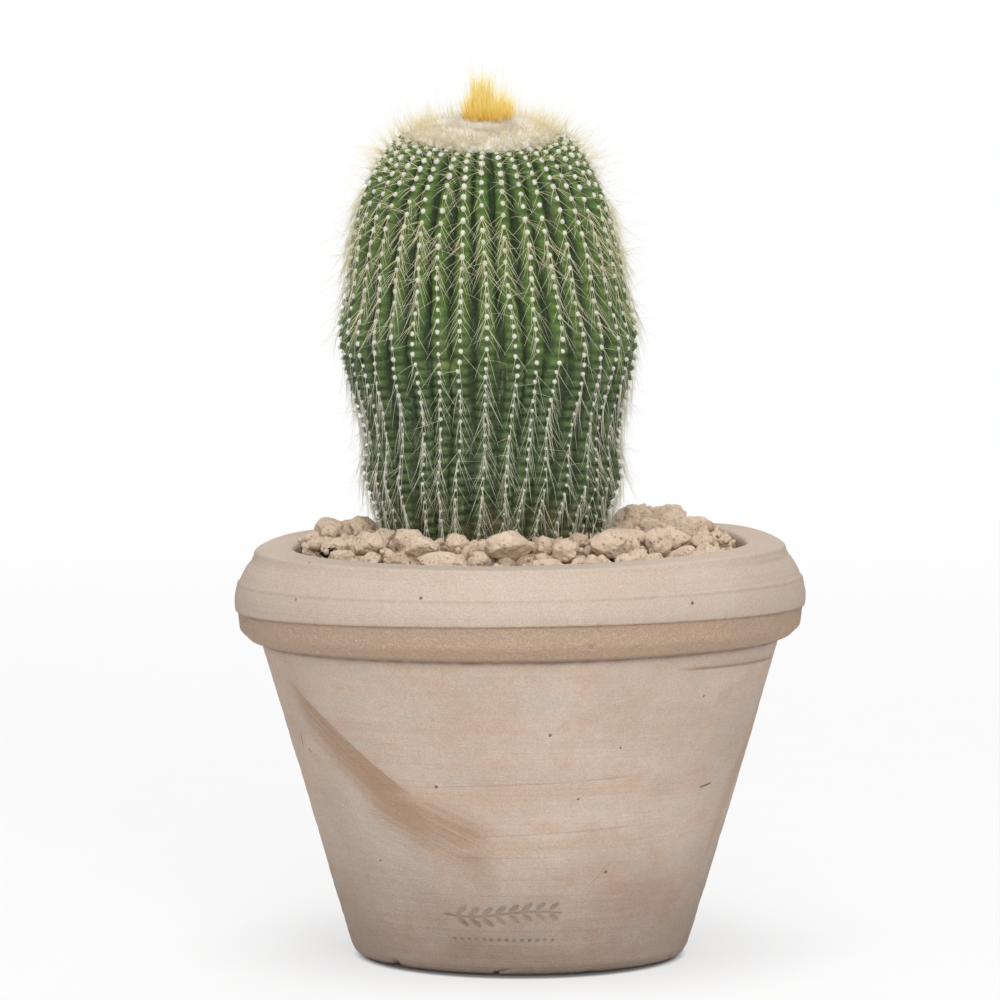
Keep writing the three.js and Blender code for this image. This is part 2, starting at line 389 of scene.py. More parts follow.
class Effects:
    """Shader node groups that several finishes use."""

    def __init__(self) -> None:
        """Builds every group once."""
        self.pits = self.build_pits()
        self.drift = self.build_drift()
        self.mark = self.build_mark()

    @staticmethod
    def build_pits() -> bpy.types.NodeTree:
        """Sparse round pits: near the middle of some cells of a Voronoi pattern the mask rises to 1.

        Returns:
            The group, with Scale, Size and Share in and Mask out.
        """
        tree, recipe, source, target = shared_effect(
            "sparse_pits",
            {
                "Scale": ("NodeSocketFloat", 400.0),
                "Size": ("NodeSocketFloat", 0.3),
                "Share": ("NodeSocketFloat", 0.3),
            },
            {"Mask": "NodeSocketFloat"},
        )
        where = recipe.add("ShaderNodeTexCoord").outputs["Object"]
        cells = recipe.add("ShaderNodeTexVoronoi", {"Vector": where, "Scale": source.outputs["Scale"]})
        chosen = recipe.add("ShaderNodeSeparateColor", {"Color": cells.outputs["Color"]})
        keep = recipe.math("LESS_THAN", chosen.outputs[0], source.outputs["Share"])
        # Every pit has its own size, so that they don't look stamped.
        size = recipe.times(source.outputs["Size"], recipe.ramp(chosen.outputs[1], 0.0, 1.0, 0.35, 1.0))
        near = recipe.ramp(cells.outputs["Distance"], size, recipe.times(size, 0.4))
        recipe.feed(target.inputs["Mask"], recipe.times(keep, near))
        return tree

    @staticmethod
    def build_drift() -> bpy.types.NodeTree:
        """Slow drift of a colour between two tones by two sizes of noise.

        Returns:
            The group, with Light, Dark, Scale and Contrast in and Color and Height out.
        """
        tree, recipe, source, target = shared_effect(
            "tone_drift",
            {
                "Light": ("NodeSocketColor", (1.0, 1.0, 1.0, 1.0)),
                "Dark": ("NodeSocketColor", (0.0, 0.0, 0.0, 1.0)),
                "Scale": ("NodeSocketFloat", 20.0),
                "Contrast": ("NodeSocketFloat", 1.0),
            },
            {"Color": "NodeSocketColor", "Height": "NodeSocketFloat"},
        )
        where = recipe.add("ShaderNodeTexCoord").outputs["Object"]
        broad = recipe.grain(where, source.outputs["Scale"], 3.0)
        fine = recipe.grain(where, recipe.times(source.outputs["Scale"], 9.0), 5.0, 0.7)
        both = recipe.math("ADD", recipe.times(broad, 0.65), recipe.times(fine, 0.35))
        centred = recipe.times(recipe.math("SUBTRACT", both, 0.5), source.outputs["Contrast"])
        factor = recipe.math("ADD", centred, 0.5, clamp=True)
        colour = recipe.mix(factor, source.outputs["Dark"], source.outputs["Light"])
        recipe.feed(target.inputs["Color"], colour)
        recipe.feed(target.inputs["Height"], fine)
        return tree

    @staticmethod
    def build_mark() -> bpy.types.NodeTree:
        """A slanting mark on the wall of the pot, streaked along its length.

        The wall is unrolled: across is the turn about Z times 80 mm, from the front, and level is Z.
        In the mark's own frame v is the distance above its middle line; the mask fades out over Rise
        above the line, over Fall below it, and towards both ends of its Reach.

        Returns:
            The group, with Across, Level, Slope, Reach, Rise and Fall in, in metres, and Mask out.
        """
        defaults = {"Across": 0.0, "Level": 0.05, "Slope": 0.0, "Reach": 0.01, "Rise": 0.001, "Fall": 0.001}
        sockets = {key: ("NodeSocketFloat", value) for key, value in defaults.items()}
        tree, recipe, source, target = shared_effect("wall_mark", sockets, {"Mask": "NodeSocketFloat"})
        where = recipe.add("ShaderNodeTexCoord").outputs["Object"]
        axes = recipe.add("ShaderNodeSeparateXYZ", {"Vector": where}).outputs
        turn = recipe.math("ARCTAN2", axes["X"], recipe.times(axes["Y"], -1.0))
        u = recipe.math("SUBTRACT", recipe.times(turn, 0.08), source.outputs["Across"])
        sheared = recipe.times(u, source.outputs["Slope"])
        v = recipe.math("SUBTRACT", recipe.math("SUBTRACT", axes["Z"], source.outputs["Level"]), sheared)
        flow = recipe.add("ShaderNodeCombineXYZ", {
            "X": recipe.times(u, 35.0), "Y": recipe.times(v, 700.0),
            "Z": recipe.times(source.outputs["Level"], 311.0),
        }).outputs["Vector"]
        streak = recipe.ramp(recipe.grain(flow, 1.0, 4.0, 0.65), 0.3, 0.58, 0.45, 1.0)
        above = recipe.ramp(v, source.outputs["Rise"], 0.0)
        fall = source.outputs["Fall"]
        below = recipe.ramp(v, recipe.times(fall, -1.0), recipe.times(fall, -0.15))
        reach = source.outputs["Reach"]
        ends = recipe.ramp(recipe.math("ABSOLUTE", u), reach, recipe.times(reach, 0.55))
        mask = recipe.times(recipe.times(above, below), recipe.times(ends, streak))
        recipe.feed(target.inputs["Mask"], mask)
        return tree


def start_material(name: str) -> tuple[Material, Recipe, bpy.types.Node]:
    """A new material with only its Principled shader.

    Args:
        name: Name of the finish.

    Returns:
        The material, its recipe and its Principled shader.
    """
    material = bpy.data.materials.new(name)
    material.use_nodes = True
    material.node_tree.nodes.clear()
    recipe = Recipe(material.node_tree)
    shader = recipe.add("ShaderNodeBsdfPrincipled")
    recipe.add("ShaderNodeOutputMaterial", {"Surface": shader.outputs["BSDF"]})
    return material, recipe, shader


def raise_surface(recipe: Recipe, shader: bpy.types.Node, height: object, depth: float) -> None:
    """Feeds a height, in units of depth metres, to a shader's normal through a Bump node."""
    bump = recipe.add("ShaderNodeBump", {"Height": height, "Distance": depth, "Strength": 1.0})
    recipe.feed(shader.inputs["Normal"], bump.outputs["Normal"])


# ---------------------------------------------------------------- finishes


class Tone(Enum):
    """What a mark on the pot shows."""

    SMEAR = (0.335, 0.215, 0.14)
    BRUSHED = (0.47, 0.35, 0.258)
    GREY = (0.40, 0.345, 0.295)
    ROSE = (0.44, 0.29, 0.215)
    GROOVE = (0.27, 0.175, 0.115)
    SOOT = (0.05, 0.042, 0.04)


@dataclass(frozen=True)
class Mark:
    """A mark on the pot: where its middle line is, how it slants, and how far it fades each way."""

    tone: Tone
    strength: float
    across: float
    level: float
    slope: float
    reach: float
    rise: float
    fall: float


@dataclass(frozen=True)
class Terracotta:
    """Fired clay with a pale bloom, bare tan where it is rubbed, and dark pits."""

    bloom: Colour = (0.545, 0.447, 0.373)
    clay: Colour = (0.435, 0.325, 0.25)
    veil: Colour = (0.455, 0.375, 0.31)
    rosy: Colour = (0.475, 0.34, 0.262)
    ashen: Colour = (0.455, 0.39, 0.33)
    bare: Colour = (0.41, 0.285, 0.20)
    grit: Colour = (0.49, 0.35, 0.255)
    lower_darkening: Colour = (0.45, 0.42, 0.41)
    impression_shade: Colour = (0.19, 0.13, 0.095)
    salt: Colour = (0.75, 0.68, 0.6)
    pit_and_crease_shade: Colour = (0.14, 0.09, 0.065)
    sand_dark: Colour = (0.33, 0.33, 0.33)
    sand_light: Colour = (0.68, 0.68, 0.68)
    marks: tuple[Mark, ...] = (
        Mark(Tone.GREY, 0.65, -62, 52, -0.3, 34, 30, 34),
        Mark(Tone.SMEAR, 0.85, -64, 87.4, -0.80, 31, 1.0, 22),
        Mark(Tone.SMEAR, 0.55, -56, 74.5, -0.80, 26, 9, 16),
        Mark(Tone.GROOVE, 0.6, -53, 78.4, -0.80, 14, 0.5, 0.5),
        Mark(Tone.SMEAR, 0.85, -36, 62, -0.45, 30, 13, 22),
        Mark(Tone.BRUSHED, 0.8, 0, 70.5, 0.05, 56, 3.6, 3.6),
        Mark(Tone.SMEAR, 0.5, 3, 74.6, 0.05, 50, 0.5, 0.5),
        Mark(Tone.BRUSHED, 0.75, 14, 51, 0.04, 48, 4.2, 4.2),
        Mark(Tone.SMEAR, 0.5, 12, 55.6, 0.05, 40, 0.5, 0.5),
        Mark(Tone.GROOVE, 0.5, -6, 46.1, 0.01, 24, 0.35, 0.35),
        Mark(Tone.GROOVE, 0.85, 81, 115.6, -0.02, 34, 1.0, 1.0),
        Mark(Tone.SOOT, 0.95, 77.5, 69.6, 0.12, 4.6, 0.7, 0.7),
        Mark(Tone.SOOT, 0.8, -95, 85.2, 4.0, 0.9, 2.2, 2.2),
        Mark(Tone.SOOT, 0.55, -90, 81.5, -0.5, 1.3, 0.8, 0.8),
        Mark(Tone.GROOVE, 0.55, 32, 39, 1.1, 5.2, 0.5, 0.5),
        Mark(Tone.GROOVE, 0.35, 25, 25, 2.1, 6.5, 0.45, 0.45),
        Mark(Tone.ROSE, 0.55, 50, 30, 0.0, 26, 14, 16),
        Mark(Tone.ROSE, 0.45, 62, 72, 0.1, 20, 8, 8),
        Mark(Tone.SMEAR, 0.40, -6, 9, -0.1, 34, 8, 9),
        Mark(Tone.GREY, 0.35, 86, 92, 0.0, 16, 20, 20),
        Mark(Tone.SMEAR, 0.4, 112, 88, 2.0, 22, 20, 22),
        Mark(Tone.SMEAR, 0.5, 190, 60, 0.5, 40, 9, 16),
        Mark(Tone.BRUSHED, 0.7, -180, 74, 0.03, 50, 4, 4),
    )

    def build(self, effects: Effects) -> Material:
        """The material. It reads the mesh's band, foot, press, chip and dirt values."""
        material, recipe, shader = start_material("terracotta")
        drift = recipe.group(
            effects.drift, {"Light": self.bloom, "Dark": self.clay, "Scale": 30.0, "Contrast": 2.5}
        )
        strokes = recipe.grain(recipe.place((9.0, 9.0, 170.0)), 1.0, 5.0, 0.65)
        blots = recipe.grain(recipe.place((1.0, 1.0, 1.6)), 62.0, 4.0, 0.6)
        colour = recipe.mix(recipe.ramp(strokes, 0.5, 0.72, 0.0, 0.45), drift.outputs["Color"], self.clay)
        colour = recipe.mix(recipe.ramp(strokes, 0.5, 0.28, 0.0, 0.30), colour, self.veil)
        colour = recipe.mix(recipe.ramp(blots, 0.53, 0.68, 0.0, 0.75), colour, self.rosy)
        colour = recipe.mix(recipe.ramp(blots, 0.47, 0.32, 0.0, 0.75), colour, self.ashen)
        height = recipe.add("ShaderNodeSeparateXYZ", {"Vector": recipe.place()}).outputs["Z"]
        # The rim, above the recessed band, keeps an even veil of lime.
        veiled = recipe.times(recipe.ramp(height, 0.133, 0.1345), recipe.ramp(strokes, 0.3, 0.6, 1.0, 0.6))
        colour = recipe.mix(recipe.times(veiled, 0.8), colour, self.veil)
        for mark in self.marks:
            mask = recipe.group(effects.mark, {
                "Across": mark.across * MM, "Level": mark.level * MM, "Slope": mark.slope,
                "Reach": mark.reach * MM, "Rise": mark.rise * MM, "Fall": mark.fall * MM,
            }).outputs["Mask"]
            colour = recipe.mix(recipe.times(mask, mark.strength), colour, mark.tone.value)
        coarse = recipe.grain(recipe.place(), 900.0, 4.0, 0.65)
        band = recipe.times(recipe.shade("band"), recipe.ramp(coarse, 0.25, 0.6, 0.72, 1.0))
        grit = recipe.mix(recipe.ramp(coarse, 0.35, 0.7), self.bare, self.grit)
        colour = recipe.mix(band, colour, grit)
        colour = recipe.mix(recipe.times(recipe.shade("chip"), 0.7), colour, self.bare)
        # Darker towards the bottom of the wall.
        colour = recipe.mix(recipe.times(recipe.shade("foot"), 0.68), colour, self.lower_darkening, "MULTIPLY")
        # Painted shade inside the impressed sprig's leaves, stalk and dots.
        colour = recipe.mix(recipe.times(recipe.shade("sprig_shade"), 0.62), colour, self.impression_shade)
        sand = recipe.grain(recipe.place(), 1500.0, 3.0, 0.7)
        sandy = recipe.mix(recipe.ramp(sand, 0.3, 0.7), self.sand_dark, self.sand_light)
        colour = recipe.mix(0.3, colour, sandy, "OVERLAY")
        scratches = recipe.ramp(recipe.grain(recipe.place((420.0, 420.0, 26.0)), 1.0, 3.0), 0.66, 0.74)
        colour = recipe.mix(recipe.times(scratches, 0.22), colour, self.clay)
        # The dark pit colour also paints shade in the corner under the rim, at the bulge's foot, in the
        # tooled line and at the base.
        colour = recipe.mix(recipe.times(recipe.shade("painted_shade"), 0.7), colour, self.pit_and_crease_shade)
        pits = recipe.group(effects.pits, {"Scale": 190.0, "Size": 0.16, "Share": 0.06}).outputs["Mask"]
        specks = recipe.group(effects.pits, {"Scale": 520.0, "Size": 0.3, "Share": 0.05}).outputs["Mask"]
        colour = recipe.mix(recipe.times(specks, 0.35), colour, self.bare)
        colour = recipe.mix(recipe.times(pits, 0.8), colour, self.pit_and_crease_shade)
        salt = recipe.group(effects.pits, {"Scale": 330.0, "Size": 0.22, "Share": 0.05}).outputs["Mask"]
        colour = recipe.mix(recipe.times(salt, recipe.shade("band")), colour, self.salt)
        recipe.feed(shader.inputs["Base Color"], colour)
        recipe.feed(shader.inputs["Roughness"], recipe.ramp(coarse, 0.2, 0.8, 0.78, 0.95))
        shader.inputs["Specular IOR Level"].default_value = 0.3
        lines = recipe.grain(recipe.place((4.0, 4.0, 1000.0)), 1.0, 3.0)
        relief = recipe.math("ADD", recipe.times(sand, 0.7), recipe.times(lines, 0.8))
        relief = recipe.math("ADD", relief, recipe.times(recipe.times(coarse, band), 2.6))
        relief = recipe.math("SUBTRACT", relief, recipe.times(pits, 2.0))
        raise_surface(recipe, shader, relief, 0.0003)
        return material


@dataclass(frozen=True)
class CactusSkin:
    """Waxy green skin: yellower on the ridges, painted shade in the furrows, greyer and corky with age."""

    ridge: Colour = (0.140, 0.225, 0.036)
    flank: Colour = (0.078, 0.136, 0.032)
    furrow_shade: Colour = (0.018, 0.032, 0.010)
    aged: Colour = (0.100, 0.138, 0.066)
    bloom: Colour = (0.24, 0.30, 0.19)
    scar: Colour = (0.23, 0.31, 0.08)
    cork: Colour = (0.17, 0.11, 0.06)

    def build(self) -> Material:
        """The material. It reads the mesh's ridge, knob, age, scar and cork values."""
        material, recipe, shader = start_material("cactus_skin")
        ridge = recipe.shade("ridge")
        knob = recipe.shade("knob")
        age = recipe.shade("age")
        fleck = recipe.grain(recipe.place((1.0, 1.0, 0.45)), 380.0, 5.0, 0.7)
        wave = recipe.math("ADD", ridge, recipe.times(recipe.math("SUBTRACT", fleck, 0.5), 0.9))
        # Painted shade: the colour darkens from the ridges into the furrows.
        colour = recipe.mix(recipe.ramp(wave, 0.22, 0.85), self.furrow_shade, self.flank)
        # The ridge colour, strongest on the knobs, is partly the skin's own yellower crest and partly a
        # painted highlight.
        crest_highlight = recipe.times(recipe.ramp(wave, 0.62, 1.1), recipe.ramp(knob, 0.05, 0.9, 0.35, 1.0))
        colour = recipe.mix(crest_highlight, colour, recipe.mix(age, self.ridge, self.aged))
        colour = recipe.mix(recipe.times(age, 0.25), colour, self.aged)
        # Painted shade in the notches between the knobs, stronger on older skin.
        gap = recipe.times(recipe.ramp(knob, 0.5, 0.05), recipe.ramp(age, 0.0, 1.0, 0.3, 0.9))
        gap = recipe.times(gap, recipe.ramp(fleck, 0.35, 0.6, 0.5, 1.0))
        colour = recipe.mix(gap, colour, self.furrow_shade)
        wax = recipe.grain(recipe.place((1.0, 1.0, 0.16)), 460.0, 4.0, 0.65)
        waxy = recipe.times(recipe.ramp(wax, 0.52, 0.74), recipe.ramp(age, 0.0, 1.0, 0.25, 0.55))
        colour = recipe.mix(waxy, colour, self.bloom)
        colour = recipe.mix(recipe.times(recipe.shade("scar"), 0.6), colour, self.scar)
        cork = recipe.times(recipe.shade("cork"), recipe.ramp(fleck, 0.38, 0.6))
        colour = recipe.mix(cork, colour, self.cork)
        recipe.feed(shader.inputs["Base Color"], colour)
        recipe.feed(shader.inputs["Roughness"], recipe.ramp(wax, 0.3, 0.75, 0.38, 0.6))
        shader.inputs["Specular IOR Level"].default_value = 0.28
        shader.inputs["Subsurface Weight"].default_value = 0.06
        shader.inputs["Subsurface Radius"].default_value = (0.4, 1.0, 0.25)
        shader.inputs["Subsurface Scale"].default_value = 0.001
        creases = recipe.grain(recipe.place((0.3, 0.3, 1.5)), 1000.0, 3.0, 0.65)
        relief = recipe.math("ADD", recipe.times(creases, 0.8), recipe.times(fleck, 0.9))
        raise_surface(recipe, shader, relief, 0.0012)
        return material


@dataclass(frozen=True)
class Felt:
    """Plant wool: matted, pale and quite rough."""

    name: str
    light: Colour
    dark: Colour
    scale: float

    def build(self, effects: Effects) -> Material:
        """The material."""
        material, recipe, shader = start_material(self.name)
        drift = recipe.group(
            effects.drift, {"Light": self.light, "Dark": self.dark, "Scale": self.scale, "Contrast": 2.6}
        )
        recipe.feed(shader.inputs["Base Color"], drift.outputs["Color"])
        shader.inputs["Roughness"].default_value = 0.95
        shader.inputs["Specular IOR Level"].default_value = 0.1
        shader.inputs["Subsurface Weight"].default_value = 0.3
        shader.inputs["Subsurface Radius"].default_value = (1.0, 0.95, 0.8)
        shader.inputs["Subsurface Scale"].default_value = 0.0015
        raise_surface(recipe, shader, drift.outputs["Height"], 0.0009)
        return material


@dataclass(frozen=True)
class Bristle:
    """A fine horny needle, darker at its root than at its tip.

    Clearness is the share of light that it lets through, and a little glow stands in for the light
    that needles pass on to each other in a dense tuft.
    """

    name: str
    root: Colour
    tip: Colour
    old: Colour
    clearness: float = 0.35
    glow: float = 0.0

    def build(self) -> Material:
        """The material. It reads the mesh's reach and tone values."""
        material, recipe, shader = start_material(self.name)
        colour = recipe.mix(recipe.ramp(recipe.shade("reach"), 0.0, 0.75), self.root, self.tip)
        colour = recipe.mix(recipe.shade("tone"), colour, self.old)
        streak = recipe.grain(recipe.place(), 1500.0, 2.0)
        colour = recipe.mix(recipe.ramp(streak, 0.35, 0.75, 0.0, 0.25), colour, self.old)
        recipe.feed(shader.inputs["Base Color"], colour)
        shader.inputs["Roughness"].default_value = 0.45
        shader.inputs["Specular IOR Level"].default_value = 0.4
        recipe.feed(shader.inputs["Emission Color"], colour)
        shader.inputs["Emission Strength"].default_value = self.glow
        through = recipe.add("ShaderNodeBsdfTranslucent", {"Color": colour})
        sides = {0: self.clearness, 1: shader.outputs[0], 2: through.outputs[0]}
        both = recipe.add("ShaderNodeMixShader", sides)
        output = material.node_tree.get_output_node("ALL")
        recipe.feed(output.inputs["Surface"], both.outputs[0])
        return material


@dataclass(frozen=True)
class Pumice:
    """Dry tan pumice with open pores and a dusty bloom."""

    light: Colour = (0.97, 0.78, 0.60)
    dark: Colour = (0.85, 0.65, 0.475)
    stain: Colour = (0.58, 0.42, 0.295)
    pore_shade: Colour = (0.20, 0.12, 0.07)

    def build(self, effects: Effects) -> Material:
        """The material. It reads the mesh's tone and hollow values."""
        material, recipe, shader = start_material("pumice")
        drift = recipe.group(
            effects.drift, {"Light": self.light, "Dark": self.dark, "Scale": 150.0, "Contrast": 2.2}
        )
        stained = recipe.ramp(recipe.shade("tone"), 0.5, 1.0, 0.0, 0.6)
        colour = recipe.mix(stained, drift.outputs["Color"], self.stain)
        large = recipe.group(effects.pits, {"Scale": 620.0, "Size": 0.42, "Share": 0.28}).outputs["Mask"]
        small = recipe.group(effects.pits, {"Scale": 1500.0, "Size": 0.4, "Share": 0.35}).outputs["Mask"]
        pores = recipe.math("MAXIMUM", large, recipe.times(small, 0.6))
        rough = recipe.grain(recipe.place(), 750.0, 6.0, 0.75)
        # Painted shade darkens the cracks, the pores and the stones' sunk hollows towards the dark pore
        # colour.
        crack = recipe.ramp(rough, 0.40, 0.29, 0.0, 0.7)
        shaded_hollow = recipe.math("MAXIMUM", crack, recipe.times(pores, 0.45))
        shaded_hollow = recipe.math("MAXIMUM", shaded_hollow, recipe.times(recipe.shade("shaded_hollow"), 0.6))
        colour = recipe.mix(recipe.times(shaded_hollow, 0.7), colour, self.pore_shade)
        recipe.feed(shader.inputs["Base Color"], colour)
        shader.inputs["Roughness"].default_value = 0.95
        shader.inputs["Specular IOR Level"].default_value = 0.15
        relief = recipe.math("SUBTRACT", recipe.times(rough, 2.0), recipe.times(pores, 0.8))
        raise_surface(recipe, shader, relief, 0.0010)
        return material


@dataclass(frozen=True)
class Earth:
    """Dark crumbly matter: compost, or dried flower remains."""

    name: str
    light: Colour
    dark: Colour
    scale: float

    def build(self, effects: Effects) -> Material:
        """The material."""
        material, recipe, shader = start_material(self.name)
        drift = recipe.group(
            effects.drift, {"Light": self.light, "Dark": self.dark, "Scale": self.scale, "Contrast": 2.0}
        )
        recipe.feed(shader.inputs["Base Color"], drift.outputs["Color"])
        recipe.feed(shader.inputs["Roughness"], recipe.ramp(drift.outputs["Height"], 0.3, 0.7, 0.8, 1.0))
        raise_surface(recipe, shader, drift.outputs["Height"], 0.0012)
        return material


@dataclass(frozen=True)
class PaleFloor:
    """A white sweep that glows softly, so that shadows on it stay faint.

    A painted contact shadow takes the glow away right under the pot and in a thin crescent before it,
    as the dark patch is set forward. Painted shade keeps it weak near the pot, which hides the floor
    from the light, and it grows to full white far away, where the floor meets the surroundings.
    Distances are in metres from the pot's axis.
    """

    white: Colour = (0.20, 0.20, 0.20)
    shaded: Colour = (0.04, 0.035, 0.035)
    dimmed: Colour = (0.65, 0.645, 0.645)
    glow: Colour = (0.73, 0.73, 0.73)
    forward: float = 0.006
    foot: float = 0.0590
    shaded_to: float = 0.0645
    dimmed_from: float = 0.06
    dimmed_to: float = 0.14
    fade_from: float = 0.35
    fade_to: float = 2.4
    speckle: Colour = (0.5, 0.5, 0.5)
    beyond: Colour = (1.0, 1.0, 1.0)

    def build(self) -> Material:
        """The material."""
        material, recipe, shader = start_material("pale_floor")
        where = recipe.place()
        away = recipe.add("ShaderNodeVectorMath", {0: where}, operation="LENGTH").outputs["Value"]
        moved = recipe.add("ShaderNodeVectorMath", {0: where, 1: (0.0, self.forward, 0.0)}, operation="ADD")
        patch = recipe.add("ShaderNodeVectorMath", {0: moved.outputs["Vector"]}, operation="LENGTH")
        far = recipe.ramp(away, self.fade_from, self.fade_to)
        speck = recipe.ramp(recipe.grain(where, 30.0, 2.0), 0.3, 0.7, 0.0, 0.02)
        near = recipe.mix(recipe.ramp(away, self.dimmed_from, self.dimmed_to), self.dimmed, self.glow)
        near = recipe.mix(recipe.ramp(patch.outputs["Value"], self.foot, self.shaded_to), self.shaded, near)
        near = recipe.mix(speck, near, self.speckle)
        recipe.feed(shader.inputs["Base Color"], recipe.mix(far, self.white, (0.0, 0.0, 0.0)))
        recipe.feed(shader.inputs["Emission Color"], recipe.mix(far, near, self.beyond))
        shader.inputs["Emission Strength"].default_value = 1.0
        shader.inputs["Roughness"].default_value = 0.9
        shader.inputs["Specular IOR Level"].default_value = 0.0
        return material


# ---------------------------------------------------------------- lumps of stone


@dataclass(frozen=True)
class LumpShape:
    """Broken lumps: a ball with flats, stretched to three sizes.

    In the ball's own space a lump's radius in direction d is (1 + sum of (n.d / h)^p)^(-1/p) over its
    flats, each with a normal n and a distance h from the middle, which rounds every edge by the same
    share. The normals are spread evenly and then jittered, and noise makes the faces uneven.
    """

    flats: int = 13
    sharpness: float = 17.0
    nearest: float = 0.66
    farthest: float = 0.98
    jitter: float = 0.33
    unevenness: float = 0.055

    def normals(self, count: int, rng: Draws) -> Array:
        """Normals of the flats of every lump: a golden-angle spiral over the ball, turned and jittered."""
        step = np.arange(self.flats)
        rise = 1.0 - 2.0 * (step + 0.5) / self.flats
        x, y = around(step * math.pi * (3.0 - math.sqrt(5.0)))
        spread = np.sqrt(1.0 - rise**2)
        even = np.stack([spread * x, spread * y, rise], axis=-1)
        turned = np.einsum("nij,kj->nki", turned_frames(count, rng, 1.5), even)
        return unit(turned + self.jitter * rng.normal(size=turned.shape))

    def radii(self, directions: Array, count: int, rng: Draws) -> Array:
        """Radius of every lump in every direction.

        Args:
            directions: Unit vectors, one per point of a lump.
            count: How many lumps.
            rng: Source of chance.

        Returns:
            Radii, lumps by directions.
        """
        normals = self.normals(count, rng)
        distance = rng.uniform(self.nearest, self.farthest, size=(count, self.flats))
        facing = np.maximum(np.einsum("pc,nkc->npk", directions, normals), 0.0) / distance[:, None, :]
        radius = (1.0 + (facing**self.sharpness).sum(axis=-1)) ** (-1.0 / self.sharpness)
        shift = rng.uniform(0.0, 50.0, size=(count, 1, 3))
        rough = layered_noise(directions[None] + shift, 0.7, 5, 3)
        return radius * (1.0 + self.unevenness * rough)


def turned_frames(count: int, rng: Draws, lean: float = 0.45) -> Array:
    """Random upright frames: a turn about Z, then a lean about a random level axis.

    Args:
        count: How many frames.
        rng: Source of chance.
        lean: Spread of the lean, in radians.

    Returns:
        Matrices whose columns are the turned axes.
    """
    turn = rng.uniform(0, 2 * math.pi, count)
    tilt_x, tilt_y = rng.normal(0, lean, (2, count))
    axis_z = unit(np.stack([np.sin(tilt_x), np.sin(tilt_y), np.ones(count)], axis=-1))
    level = np.stack([np.cos(turn), np.sin(turn), np.zeros(count)], axis=-1)
    axis_y = unit(np.cross(axis_z, level))
    axis_x = np.cross(axis_y, axis_z)
    return np.stack([axis_x, axis_y, axis_z], axis=-1)


# ---------------------------------------------------------------- pot


